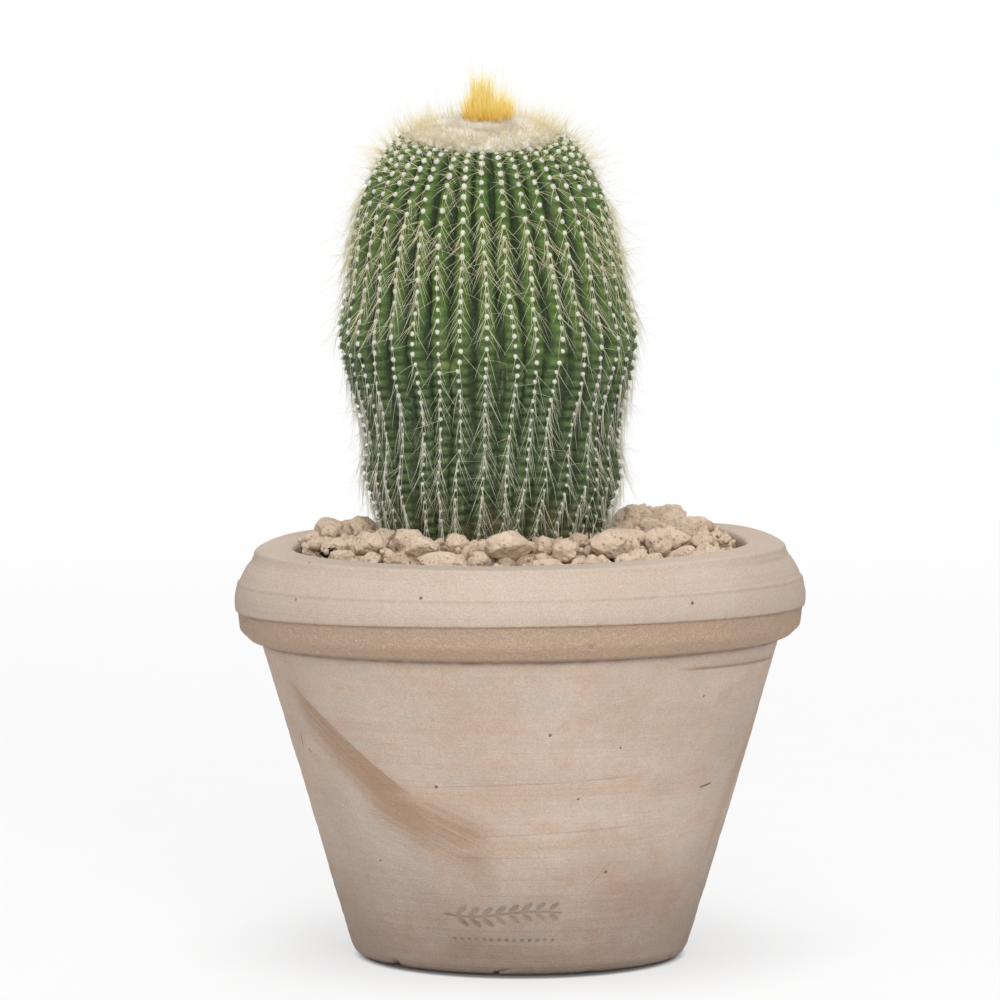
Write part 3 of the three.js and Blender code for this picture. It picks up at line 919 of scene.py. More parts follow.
@dataclass
class Pot:
    """The turned terracotta pot, in place of the CAD pot.

    The skin is a closed profile carried round the axis, in two pieces that meet in the corner under
    the rim. It has the handmade unevenness of the real thing: a rim that wavers, throwing lines,
    chipped edges and an impressed sprig on the front.
    """

    rim_radius: float = 110.2
    ridge_radius: float = 102.6
    mouth_radius: float = 87.0
    base_radius: float = 61.5
    foot_radius: float = 63.9
    slope: float = 0.3
    wall: float = 11.6
    floor: float = 11.0
    drain_radius: float = 11.0
    rim_underside: float = 120.0
    band_foot: float = 125.4
    bulge_foot: float = 133.2
    ridge_foot: float = 151.3
    tooled_line: float = 142.9
    sprig_x: float = -7.0
    sprig_z: float = 24.0
    sprig_depth: float = 0.7
    seed: int = 11
    height: float = field(default=0.0, init=False)

    def outside(self, height: float) -> float:
        """Outer radius of the wall at a height."""
        return self.foot_radius + self.slope * height

    def rim_rows(self) -> list[tuple[float, float, float]]:
        """The rim's profile: radius, height and the step with which the stretch after it is drawn."""
        top = self.height
        under = self.rim_underside
        handles = np.array([
            [self.rim_radius - 0.3, self.bulge_foot],
            [self.rim_radius + 1.1, self.bulge_foot + 6.0],
            [self.rim_radius - 2.0, self.ridge_foot - 4.0],
            [self.ridge_radius + 0.9, self.ridge_foot],
        ])
        t = np.linspace(0, 1, 13)[:, None]
        bulge = (
            handles[0] * (1 - t) ** 3 + 3 * handles[1] * t * (1 - t) ** 2
            + 3 * handles[2] * t**2 * (1 - t) + handles[3] * t**3
        )
        return [
            (self.mouth_radius, under - 2.0, 4.0),
            (self.outside(under) - 1.2, under - 2.0, 0.5),
            (self.outside(under) - 0.3, under - 0.2, 0.4),
            (self.outside(under) + 1.2, under + 0.2, 0.5),
            (104.4, 121.5, 0.5),
            (107.5, self.band_foot - 0.8, 0.35),
            (108.1, self.band_foot + 0.1, 0.6),
            (108.9, self.bulge_foot - 1.3, 0.35),
            (109.0, self.bulge_foot - 0.4, 0.25),
            *[(float(r), float(z), 0.8) for r, z in bulge],
            (self.ridge_radius + 0.3, self.ridge_foot + 0.9, 0.6),
            (self.ridge_radius, top - 1.4, 0.4),
            (self.ridge_radius - 0.8, top - 0.6, 1.0),
            (self.mouth_radius + 2.2, top, 0.5),
            (self.mouth_radius + 0.7, top - 0.5, 0.5),
            (self.mouth_radius, top - 2.2, 1.5),
            (self.mouth_radius, top - 12.0, 6.0),
        ]

    def wall_rows(self) -> list[tuple[float, float, float]]:
        """The profile of the wall and the floor, like rim_rows."""
        under = self.rim_underside
        inner_foot = self.foot_radius + self.slope * self.floor - self.wall
        return [
            (self.drain_radius + 1.0, 0.0, 6.0),
            (self.base_radius - 3.0, 0.0, 0.8),
            (self.base_radius, 0.2, 0.6),
            (self.base_radius + 1.9, 1.1, 0.6),
            (self.outside(4) - 0.1, 4.0, 0.9),
            (self.outside(10), 10.0, 0.42),
            (self.outside(33), 33.0, 1.5),
            (self.outside(112), 112.0, 0.6),
            (self.outside(under + 0.8), under + 0.8, 4.0),
            (self.mouth_radius + 0.5, under + 0.8, 4.0),
            (self.mouth_radius + 0.5, 118.0, 12.0),
            (inner_foot + self.slope * 6, self.floor + 6.0, 2.0),
            (inner_foot - 2.0, self.floor + 1.5, 2.0),
            (inner_foot - 6.0, self.floor, 6.0),
            (self.drain_radius, self.floor, 3.0),
        ]

    @staticmethod
    def profile(rows: list[tuple[float, float, float]]) -> Array:
        """A closed profile with each stretch divided to its step, and its corners softened."""
        table = np.array(rows)
        keys, steps = table[:, :2], table[:, 2]
        stretches = []
        for start, end, step in zip(keys, np.roll(keys, -1, axis=0), steps):
            pieces = max(1, round(float(np.hypot(*(end - start))) / step))
            stretches.append(start + (end - start) * (np.arange(pieces) / pieces)[:, None])
        points = np.concatenate(stretches)
        return (np.roll(points, 1, axis=0) + 2 * points + np.roll(points, -1, axis=0)) / 4

    def wall_columns(self) -> Array:
        """Turns of the wall's columns, closer together at the front, where the sprig is, than behind."""
        reach = math.radians(19.5)
        middle = self.sprig_x / self.outside(self.sprig_z)
        fine = middle + np.linspace(-reach, reach, 150, endpoint=False)
        rest = middle + reach + np.linspace(0, 2 * math.pi - 2 * reach, 220, endpoint=False)
        return np.concatenate([fine, rest])

    def sprig(self, across: Array, up: Array) -> Array:
        """Depth of the impressed sprig: a stalk with pairs of leaves, over a row of small dots.

        A leaf is an ellipse that points along the stalk and away from it; its mask falls from 1 inside
        to 0 outside its edge over a fraction of a millimetre.

        Args:
            across: Millimetres to the right of the sprig's middle.
            up: Millimetres above it.

        Returns:
            The impression, from 0 to 1.
        """
        sway = 1.2 * np.sin(across / 8.0)
        mask = ease(np.abs(up - sway), 0.62, 0.25) * ease(np.abs(across), 23.0, 22.0)
        for index, along in enumerate(np.linspace(-18.0, 17.0, 8)):
            for side in (-1.0, 1.0):
                tilt = math.radians(40.0) * side
                middle_x = along + 3.2 * math.cos(tilt)
                middle_z = 1.2 * math.sin(along / 8.0) + 3.2 * math.sin(tilt)
                u = (across - middle_x) * math.cos(tilt) + (up - middle_z) * math.sin(tilt)
                v = -(across - middle_x) * math.sin(tilt) + (up - middle_z) * math.cos(tilt)
                length = 2.9 - 0.12 * index
                mask = np.maximum(mask, ease(np.hypot(u / length, v / 0.95), 1.15, 0.8))
        dots = np.hypot((across + 4.5) - 3.0 * np.round((across + 4.5) / 3.0), up + 10.0)
        inside = (across > -21.0) & (across < 20.0)
        return np.maximum(mask, inside * ease(dots, 0.85, 0.45))

    def unevenness(
        self, radius: Array, turns: Array, level: Array, outer: Array
    ) -> tuple[Array, Array, Array]:
        """How the pot departs from its profile.

        The rim tips up to the right and the back, and its band rises at the front; the skin swells
        slowly and carries throwing lines; edges lose small chips where the noise along them peaks.

        Args:
            radius: Radius of each point of the plain skin.
            turns: Its direction.
            level: Its height.
            outer: 1 on the outside.

        Returns:
            Change of radius, change of height, and how chipped each point is.
        """
        x, y = around(turns)
        skin = np.stack([radius * x, radius * y, level], axis=-1)
        ring = np.stack([x * 60.0, y * 60.0, np.zeros_like(x)], axis=-1)
        upper = ease(level, 60.0, 140.0)
        lift = upper * (0.9 + 1.2 * x + 3.0 * ease(y, 0.0, 0.62) + 0.35 * noise(ring, 40.0, self.seed))
        lift = lift + (1.0 * bell(level, 132.0, 9.0) - 0.6 * ease(level, 145.0, 154.0)) * np.cos(2 * turns)
        swell = outer * (0.35 * noise(skin, 45.0, self.seed + 1) + 0.16 * noise(skin, 14.0, self.seed + 2))
        swell = swell + outer * 0.09 * layered_noise(skin, 4.0, self.seed + 12, 2)
        lines = outer * 0.10 * noise(np.stack([x * 9, y * 9, level * 3.0], axis=-1), 6.0, self.seed + 3)
        line = self.tooled_line
        tooled = outer * (0.35 * ease(level, line, line + 0.7) - 0.25 * bell(level, line, 0.6))
        field_of_chips = noise(skin, 7.0, self.seed + 4) * 0.6 + noise(skin, 2.4, self.seed + 5) * 0.6
        edge = bell(level, self.bulge_foot + 0.2, 1.1) + 0.9 * bell(level, self.band_foot, 1.1)
        edge = (edge + 1.3 * bell(level, 0.6, 2.0) + 0.5 * bell(level, self.height - 0.8, 1.0)) * outer
        chips = edge * ease(field_of_chips, 0.40, 0.95) * 1.7
        groove = outer * bell(level + 0.02 * turns * 80.0, 117.2, 0.8)
        groove = groove * ease(turns, 0.62, 0.85) * ease(turns, 1.45, 1.25)
        lift = lift + 0.5 * chips * bell(level, 0.6, 2.0)
        return swell + lines - tooled - chips - 0.6 * groove, lift, chips

    def build_part(
        self, name: str, profile: Array, turn: Array, material: Material
    ) -> bpy.types.Object:
        """Makes one part of the pot.

        Args:
            name: Name of the piece.
            profile: Its closed profile.
            turn: Turns of its columns.
            material: Its finish.

        Returns:
            The piece.
        """
        radius = np.repeat(profile[:, 0][:, None], len(turn), axis=1)
        level = np.repeat(profile[:, 1][:, None], len(turn), axis=1)
        turns = np.broadcast_to(turn, radius.shape)
        outer = (radius > self.outside(0) - 4.0) & (radius > self.outside(1) + self.slope * level - 6.0)
        wider, higher, chips = self.unevenness(radius, turns, level, outer)
        across = (turns - self.sprig_x / self.outside(self.sprig_z)) * self.outside(self.sprig_z)
        sprig = self.sprig(across, level - self.sprig_z) * outer
        worn = 0.72 + 0.28 * noise(np.stack([across, level, level], axis=-1), 5.0, self.seed + 8)
        radius = radius + wider - self.sprig_depth * sprig * worn
        x, y = around(turns)
        points = np.stack([radius * x, radius * y, level + higher], axis=-1)
        band = ease(level, self.rim_underside - 0.5, self.rim_underside + 0.3)
        band = band * ease(level, self.bulge_foot + 0.7, self.bulge_foot - 0.3) * outer
        # Painted shade: dark lines in the corner under the rim, at the bulge's foot and in the tooled line,
        # and a dark strip at the base where the pot meets the floor.
        painted_shade = bell(level, self.rim_underside, 0.9) + 0.45 * bell(level, self.bulge_foot - 0.4, 0.5)
        painted_shade = painted_shade + 0.35 * bell(level, self.tooled_line, 0.35) + 0.8 * ease(level, 0.9, 0.0)
        shades = {
            "band": band,
            "chip": ease(chips, 0.3, 0.9),
            "painted_shade": np.clip(painted_shade * outer * (0.8 + 0.4 * noise(points, 3.0, self.seed + 9)), 0, 1),
            "foot": ease(level, 62.0, 4.0) * outer,
            # Painted shade in the sprig's impressions.
            "sprig_shade": sprig * worn,
        }
        faces = grid_faces(len(profile), len(turn), wrap_rows=True)
        return build_piece(name, points, [faces], material, shades)

    def build(self, material: Material) -> None:
        """Makes the wall and the rim."""
        self.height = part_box("pot")[1][2] / MM
        wall = self.build_part("pot_wall", self.profile(self.wall_rows()), self.wall_columns(), material)
        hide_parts("pot")
        even = np.linspace(0, 2 * math.pi, 720, endpoint=False)
        self.build_part("pot_rim", self.profile(self.rim_rows()), even, material)


# ---------------------------------------------------------------- plant


@dataclass
class Stem:
    """The ribbed stem, in place of the CAD stem.

    The stem is first drawn upright: `along` is the height on its axis and `turn` the direction from
    it. Then it is bent as the CAD stem is, so that it leans left and its crown tips to the front.
    """

    ribs: int = 37
    columns_per_rib: int = 10
    row_step: float = 0.80
    foot_x: float = -10.3
    lean: float = -4.0
    bend_from: float = 215.0
    bend_to: float = 300.0
    crown_tilt: float = math.radians(12.5)
    ring_scar: float = 230.0
    rib_depth: float = 4.4
    knob_height: float = 1.6
    outline: tuple[tuple[float, float], ...] = (
        (96, 0), (98, 6), (112, 15), (130, 30), (145, 38.5), (157, 42), (166, 44.5), (175, 47.5),
        (184, 50.2), (196, 49.4), (208, 51.2), (220, 54.8), (230, 57), (236, 57.8), (244, 57.2),
        (256, 54.2), (268, 52.8), (282, 50), (291, 47.2), (299, 44), (306, 40.2), (312, 35.6),
        (314.7, 30), (315.9, 18), (316.3, 0),
    )
    visible_from: float = 150.0
    seed: int = 23
    path: Array = field(default_factory=lambda: np.zeros((0, 3)), init=False)
    phase: Array = field(default_factory=lambda: np.zeros(0), init=False)

    def __post_init__(self) -> None:
        """Works out the outline as a smooth path and each rib's own rhythm of areoles.

        The outline is a Catmull-Rom curve through its points; the path's columns are the way along
        the skin, the height on the axis and the radius.
        """
        keys = np.array(self.outline, dtype=float)
        ends = np.concatenate([[2 * keys[0] - keys[1]], keys, [2 * keys[-1] - keys[-2]]])
        t = np.linspace(0, 1, 24, endpoint=False)[:, None]
        spans = []
        for before, start, end, after in zip(ends[:-3], ends[1:-2], ends[2:-1], ends[3:]):
            spans.append(0.5 * (
                2 * start + (end - before) * t + (2 * before - 5 * start + 4 * end - after) * t**2
                + (3 * start - before - 3 * end + after) * t**3
            ))
        curve = np.concatenate([*spans, keys[-1:]])
        way = np.concatenate([[0.0], np.cumsum(np.hypot(*np.diff(curve, axis=0).T))])
        self.path = np.column_stack([way, curve[:, 0], np.maximum(curve[:, 1], 0.0)])
        self.phase = np.random.default_rng(self.seed).uniform(0, 1, self.ribs)

    def way_at(self, along: float) -> float:
        """Way along the skin at a height on the axis."""
        return float(np.interp(along, self.path[:, 1], self.path[:, 0]))

    def at_way(self, way: Array) -> tuple[Array, Array]:
        """Height on the axis and radius at a way along the skin."""
        along = np.interp(way, self.path[:, 0], self.path[:, 1])
        return along, np.interp(way, self.path[:, 0], self.path[:, 2])

    def areole_count(self, way: Array, rib: NDArray[np.int64]) -> Array:
        """How many areoles lie below a point of a rib, counted smoothly; whole numbers are areoles.

        Below the ring scar the plant grew slowly and they are 3.9 mm apart; above it, 4.9 mm, and on
        the crown's shoulder they crowd together again.

        Args:
            way: Way along the skin.
            rib: Number of the rib.

        Returns:
            The running count.
        """
        scar = self.way_at(self.ring_scar)
        shoulder = self.way_at(303.0)
        count = np.minimum(way, scar) / 3.9 + np.clip(way - scar, 0.0, shoulder - scar) / 4.9
        count = count + np.maximum(way - shoulder, 0.0) / 3.7
        wander = 0.13 * np.sin(way / 9.0 + 40.0 * self.phase[rib])
        return count + self.phase[rib] + wander

    def rib_turn(self, along: Array, rib: Array) -> Array:
        """Direction of a rib's ridge: drifting left towards the foot, with a step at the ring scar."""
        drift = -0.13 * np.clip((236.0 - along) / 75.0, 0, 1.5) ** 1.2
        step = 0.026 * np.sin(1.7 * rib) * ease(along, self.ring_scar + 3.0, self.ring_scar - 3.0)
        wave = 0.011 * np.sin(along / 13.0 + 2.4 * rib)
        return rib * 2 * math.pi / self.ribs + drift + step + wave

    def bend(self, points: Array) -> Array:
        """Bends the upright stem as the CAD stem is bent.

        The tilt grows with the way into the bend, and the axis moves forward by its sine, summed.

        Args:
            points: Places on the upright stem, around X = 0.

        Returns:
            Places in the frame.
        """
        along = points[..., 2]
        reach = self.bend_to - self.bend_from
        tilt = self.crown_tilt * ease(along, self.bend_from, self.bend_to)
        run = np.maximum(along - self.bend_from, 0.0)
        inside = np.minimum(run, reach)
        past = np.maximum(run - reach, 0.0)
        forward = math.sin(self.crown_tilt) * (inside**2 / (2 * reach) + past)
        dropped = (1 - math.cos(self.crown_tilt)) * (inside**2 / (3 * reach) + past)
        lean = self.lean * ease(along, 165.0, 310.0)
        return np.stack([
            self.foot_x + lean + points[..., 0],
            points[..., 1] * np.cos(tilt) - forward,
            along - dropped + points[..., 1] * np.sin(tilt),
        ], axis=-1)

    def dent(self, radius: Array, turn: Array, along: Array) -> Array:
        """Slow dents of the whole skin, which the areoles follow too."""
        x, y = around(turn)
        return 0.35 * noise(np.stack([radius * x, radius * y, along], axis=-1), 9.0, self.seed + 3)

    def surface(self, way: Array, turn: Array, proud: float | Array = 0.0) -> Array:
        """Places over the ribs at a way along the skin and a turn, raised by proud."""
        along, radius = self.at_way(way)
        radius = radius - self.dent(radius, turn, along) + proud
        x, y = around(turn)
        return self.bend(np.stack([radius * x, radius * y, along], axis=-1))

    def frames(self, way: Array, turn: Array) -> tuple[Array, Array, Array, Array]:
        """Places on the ridges with their outward, downward and sideways directions.

        Args:
            way: Way along the skin.
            turn: Direction from the axis.

        Returns:
            Place, outward, down along the skin, and to the right along it.
        """
        step = 1.5
        place = self.surface(way, turn)
        down = unit(self.surface(way - step, turn) - self.surface(way + step, turn))
        side = unit(self.surface(way, turn + 0.03) - self.surface(way, turn - 0.03))
        outward = unit(np.cross(down, side))
        return place, outward, down, side

    def build(self, material: Material) -> None:
        """Makes the stem: a cosine ridge for each rib, notched between areoles, with fine creases.

        With f the place across a rib from -0.5 to 0.5, the ridge is cos(pi f)^0.75, and between two
        areoles the ridge is notched by the knob height.
        """
        start = self.way_at(self.visible_from)
        rows = round((self.path[-1, 0] - start) / self.row_step)
        buried = np.linspace(self.way_at(99.0), start, 10, endpoint=False)
        way = np.concatenate([buried, np.linspace(start, self.path[-1, 0] - 3.0, rows)])
        across = (np.arange(self.columns_per_rib) / self.columns_per_rib) - 0.5
        rib = np.repeat(np.arange(self.ribs), self.columns_per_rib)
        offset = np.tile(across, self.ribs)
        ways = np.repeat(way[:, None], len(rib), axis=1)
        along, radius = self.at_way(ways)
        turn = self.rib_turn(along, rib[None, :].astype(float)) + offset[None, :] * 2 * math.pi / self.ribs
        ridge = np.abs(np.cos(math.pi * offset))[None, :] ** 0.75 * np.ones_like(ways)
        count = self.areole_count(ways, np.broadcast_to(rib, ways.shape))
        knob = (0.5 + 0.5 * np.cos(2 * math.pi * count)) ** 1.2
        aged = ease(along, 262.0, 200.0)
        depth = self.rib_depth * ease(radius, 8.0, 40.0) * (1.0 - 0.42 * aged)
        x, y = around(turn)
        flat = np.stack([radius * x, radius * y, along], axis=-1)
        patchy = 0.75 + 0.5 * noise(flat, 6.0, self.seed + 8)
        notch = self.knob_height * (0.7 + 0.55 * aged) * ease(radius, 22.0, 40.0) * patchy
        creased = layered_noise(flat * np.array([0.5, 0.5, 1.3]), 2.0, self.seed, 3)
        notched = 0.15 + 0.2 * aged + (0.85 - 0.2 * aged) * ridge**2
        sink = depth * (1.0 - ridge) + notch * (1.0 - knob) * notched
        sink = sink + (0.18 + 0.30 * aged) * creased * ease(radius, 20.0, 38.0)
        sink = sink + self.dent(radius, turn, along)
        scar_line = self.ring_scar + 1.2 * np.sin(3 * turn) + 1.0 * noise(flat, 14.0, self.seed + 4)
        scar = bell(along, scar_line, 1.8)
        sink = sink + 0.9 * scar
        shown = radius - sink * ease(along, 140.0, 150.0)
        points = self.bend(np.stack([shown * x, shown * y, along], axis=-1)).reshape(-1, 3)
        foot = self.bend(np.array([[0.0, 0.0, 97.0]]))
        head = self.bend(np.array([[0.0, 0.0, self.path[-1, 1]]]))
        points = np.concatenate([points, foot, head])
        cork = ease(along + 9.0 * noise(flat, 11.0, self.seed + 5), 178.0, 162.0)
        spot = ease(noise(flat, 8.0, self.seed + 6), 0.45, 0.8) * ease(along, 205.0, 175.0)
        values = {
            "ridge": ridge,
            "knob": knob,
            "age": aged,
            "scar": scar * ease(noise(flat, 6.0, self.seed + 7), -0.1, 0.5),
            "cork": np.clip(0.6 * cork + 0.6 * spot, 0, 1),
        }
        shades = {key: np.append(value.ravel(), [0.5, 0.5]) for key, value in values.items()}
        faces = capped_faces(len(way), len(rib))
        piece = build_piece("cactus_stem_skin", points, faces, material, shades)
        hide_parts("cactus_stem")

    def areoles(self, low: float, high: float) -> tuple[Array, Array]:
        """Where the areoles of a stretch of the stem are.

        Args:
            low: Lowest height on the axis.
            high: Highest height.

        Returns:
            Way along the skin and turn of each areole.
        """
        fine = np.arange(self.way_at(low), self.way_at(high), 0.05)
        ways, turns = [], []
        for rib in range(self.ribs):
            count = self.areole_count(fine, np.full(fine.shape, rib))
            crossing = np.flatnonzero(np.diff(np.floor(count)) > 0)
            way = fine[crossing + 1]
            ways.append(way)
            turns.append(self.rib_turn(self.at_way(way)[0], np.full(way.shape, float(rib))))
        return np.concatenate(ways), np.concatenate(turns)


@dataclass(frozen=True)
class Fan:
    """One kind of bristle on the areoles of a zone.

    Angles are in degrees: spread is measured over the skin from straight down to either side, and
    lift is measured off the skin. Lengths and the root's radius are in millimetres.
    """

    mean: float
    length: tuple[float, float]
    spread: tuple[float, float]
    lift: tuple[float, float]
    thickness: float


@dataclass(frozen=True)
class Zone:
    """How the areoles of one stretch of the stem are armed."""

    name: str
    low: float
    high: float
    fans: tuple[Fan, ...]
    tone: tuple[float, float]


@dataclass
class Needles:
    """Many tapered needles: where each starts, where it heads, how it bends, and its size and tone."""

    start: Array
    heading: Array
    sag: Array
    length: Array
    thick: Array
    tone: Array
    sides: int = 3
    rings: int = 5

    def points(self) -> Array:
        """Points of the needles.

        A needle follows start + heading * s * length + sag * s^2 * length for s from 0 to 1, with a
        small ring of points at each step that narrows to a quarter at the tip.

        Returns:
            Needles by points: the rings, then the root's middle and the tip.
        """
        s = np.linspace(0, 1, self.rings, endpoint=False)
        reach = s[None, :, None] * self.length[:, None, None]
        bow = self.sag[:, None] * s[None, :, None]
        middle = self.start[:, None] + self.heading[:, None] * reach + bow * reach
        tip = self.start + (self.heading + self.sag) * self.length[:, None]
        across = unit(np.cross(self.heading, np.array([0.31, 0.52, 0.79])))
        other = np.cross(self.heading, across)
        angle = np.arange(self.sides) * 2 * math.pi / self.sides
        ring = np.cos(angle)[:, None] * across[:, None] + np.sin(angle)[:, None] * other[:, None]
        width = self.thick[:, None, None, None] * (1.0 - 0.75 * s)[None, :, None, None]
        body = (middle[:, :, None] + ring[:, None] * width).reshape(len(self.start), -1, 3)
        return np.concatenate([body, self.start[:, None], tip[:, None]], axis=1)

    def build(self, name: str, material: Material) -> bpy.types.Object:
        """Makes one piece of all the needles.

        Args:
            name: Name of the piece.
            material: Its finish.

        Returns:
            The piece.
        """
        points = self.points()
        s = np.linspace(0, 1, self.rings, endpoint=False)
        reach = np.concatenate([np.repeat(s, self.sides), [0.0, 1.0]])
        shades = {
            "reach": np.broadcast_to(reach, points.shape[:2]),
            "tone": np.repeat(self.tone[:, None], points.shape[1], axis=1),
        }
        faces = repeated(capped_faces(self.rings, self.sides), points.shape[1], len(self.start))
        return build_piece(name, points, faces, material, shades)


@dataclass
class Armour:
    """Felted areoles and their bristles, which are part of the grown stem."""

    stem: Stem
    seed: int = 37
    dot_height: float = 0.85
    dot_levels: tuple[float, ...] = (160, 205, 225, 240, 270, 300, 314)
    dot_sizes: tuple[float, ...] = (0.55, 0.66, 0.82, 0.88, 0.92, 1.0, 1.15)
    zones: tuple[Zone, ...] = (
        Zone("crown_bristles", 305.0, 315.6, (
            Fan(3.4, (7, 13), (0, 180), (52, 88), 0.08),
            Fan(1.6, (5, 10), (20, 110), (15, 45), 0.085),
            Fan(0.8, (11, 17), (0, 180), (60, 88), 0.065),
        ), (0.0, 0.3)),
        Zone("collar_bristles", 294.0, 305.0, (
            Fan(2.4, (6, 11), (18, 60), (8, 28), 0.095),
            Fan(1.5, (8, 15), (0, 180), (45, 85), 0.075),
        ), (0.05, 0.45)),
        Zone("upper_bristles", 264.0, 294.0, (
            Fan(4.2, (8, 14), (16, 52), (6, 20), 0.098),
            Fan(1.3, (8, 13), (0, 18), (6, 20), 0.098),
            Fan(0.9, (9, 17), (0, 180), (35, 75), 0.075),
        ), (0.15, 0.6)),
        Zone("shoulder_bristles", 245.0, 264.0, (
            Fan(2.6, (9, 15), (12, 40), (5, 18), 0.095),
            Fan(1.0, (8, 14), (0, 14), (5, 18), 0.095),
            Fan(0.5, (9, 17), (0, 150), (30, 65), 0.072),
        ), (0.3, 0.8)),
        Zone("middle_bristles", 221.0, 245.0, (
            Fan(0.55, (7, 15), (10, 45), (5, 20), 0.09),
            Fan(0.3, (8, 14), (0, 14), (4, 14), 0.09),
            Fan(0.25, (8, 15), (0, 120), (25, 60), 0.072),
        ), (0.5, 1.0)),
        Zone("lower_bristles", 160.0, 221.0, (
            Fan(1.8, (6, 15), (0, 14), (3, 14), 0.09),
            Fan(1.6, (7, 18), (6, 38), (5, 22), 0.078),
            Fan(0.35, (7, 14), (0, 120), (25, 60), 0.07),
        ), (0.7, 1.0)),
    )

    def build(self, felt: Material, bristle: Material) -> None:
        """Makes the areoles, then the bristles of each zone."""
        self.build_areoles(felt)
        for index, zone in enumerate(self.zones):
            self.build_zone(zone, bristle, np.random.default_rng(self.seed + index))

    def build_areoles(self, felt: Material) -> None:
        """Makes one felt dot per areole: a lumpy low dome that is wider on young areoles."""
        rng = np.random.default_rng(self.seed)
        way, turn = self.stem.areoles(158.0, 315.6)
        place, outward, down, side = self.stem.frames(way, turn)
        along = self.stem.at_way(way)[0]
        count = len(place)
        shape, faces = ball(4, 8)
        size = np.interp(along, self.dot_levels, self.dot_sizes)
        size = (size * rng.uniform(0.82, 1.14, count))[:, None]
        lumps = noise(shape[None] * 1.9 + rng.uniform(0, 90, (count, 1, 3)), 1.0)
        local = shape[None] * (1.0 + 0.22 * lumps)[..., None]
        points = (
            place[:, None] - 0.1 * outward[:, None]
            + local[..., 0:1] * (size * side)[:, None]
            + local[..., 1:2] * (size * 1.1 * down)[:, None]
            + local[..., 2:3] * (self.dot_height * size**0.6 * outward)[:, None]
        )
        build_piece("areole_felt", points, repeated(faces, len(shape), count), felt)

    def build_zone(self, zone: Zone, bristle: Material, rng: Draws) -> None:
        """Makes the bristles of one zone, a Poisson number of each kind on every areole."""
        way, turn = self.stem.areoles(zone.low, zone.high)
        place, outward, down, side = self.stem.frames(way, turn)
        parts = []
        for fan in zone.fans:
            pick = np.repeat(np.arange(len(place)), rng.poisson(fan.mean, len(place)))
            count = len(pick)
            angle = np.radians(rng.uniform(*fan.spread, count)) * rng.choice([-1.0, 1.0], count)
            lift = np.radians(rng.uniform(*fan.lift, count))
            over = np.cos(angle)[:, None] * down[pick] + np.sin(angle)[:, None] * side[pick]
            heading = np.cos(lift)[:, None] * over + np.sin(lift)[:, None] * outward[pick]
            parts.append((
                place[pick] + 0.35 * outward[pick] + rng.normal(0, 0.25, (count, 3)),
                heading,
                rng.normal(0, 0.12, (count, 3)) + np.array([0.0, 0.0, -0.14]),
                rng.uniform(*fan.length, count),
                fan.thickness * rng.uniform(0.8, 1.15, count),
                rng.uniform(*zone.tone, count),
            ))
        Needles(*[np.concatenate(values) for values in zip(*parts)]).build(zone.name, bristle)


@dataclass(frozen=True)
class Bundle:
    """One bundle of the tuft: the share of the tuft's foot that it covers and how far its middle is
    shifted, its lengths as shares of the tuft's height, its fan, its number and its thickness."""

    share: float
    shift: float
    lengths: tuple[float, float]
    fan: float
    count: int
    thickness: float


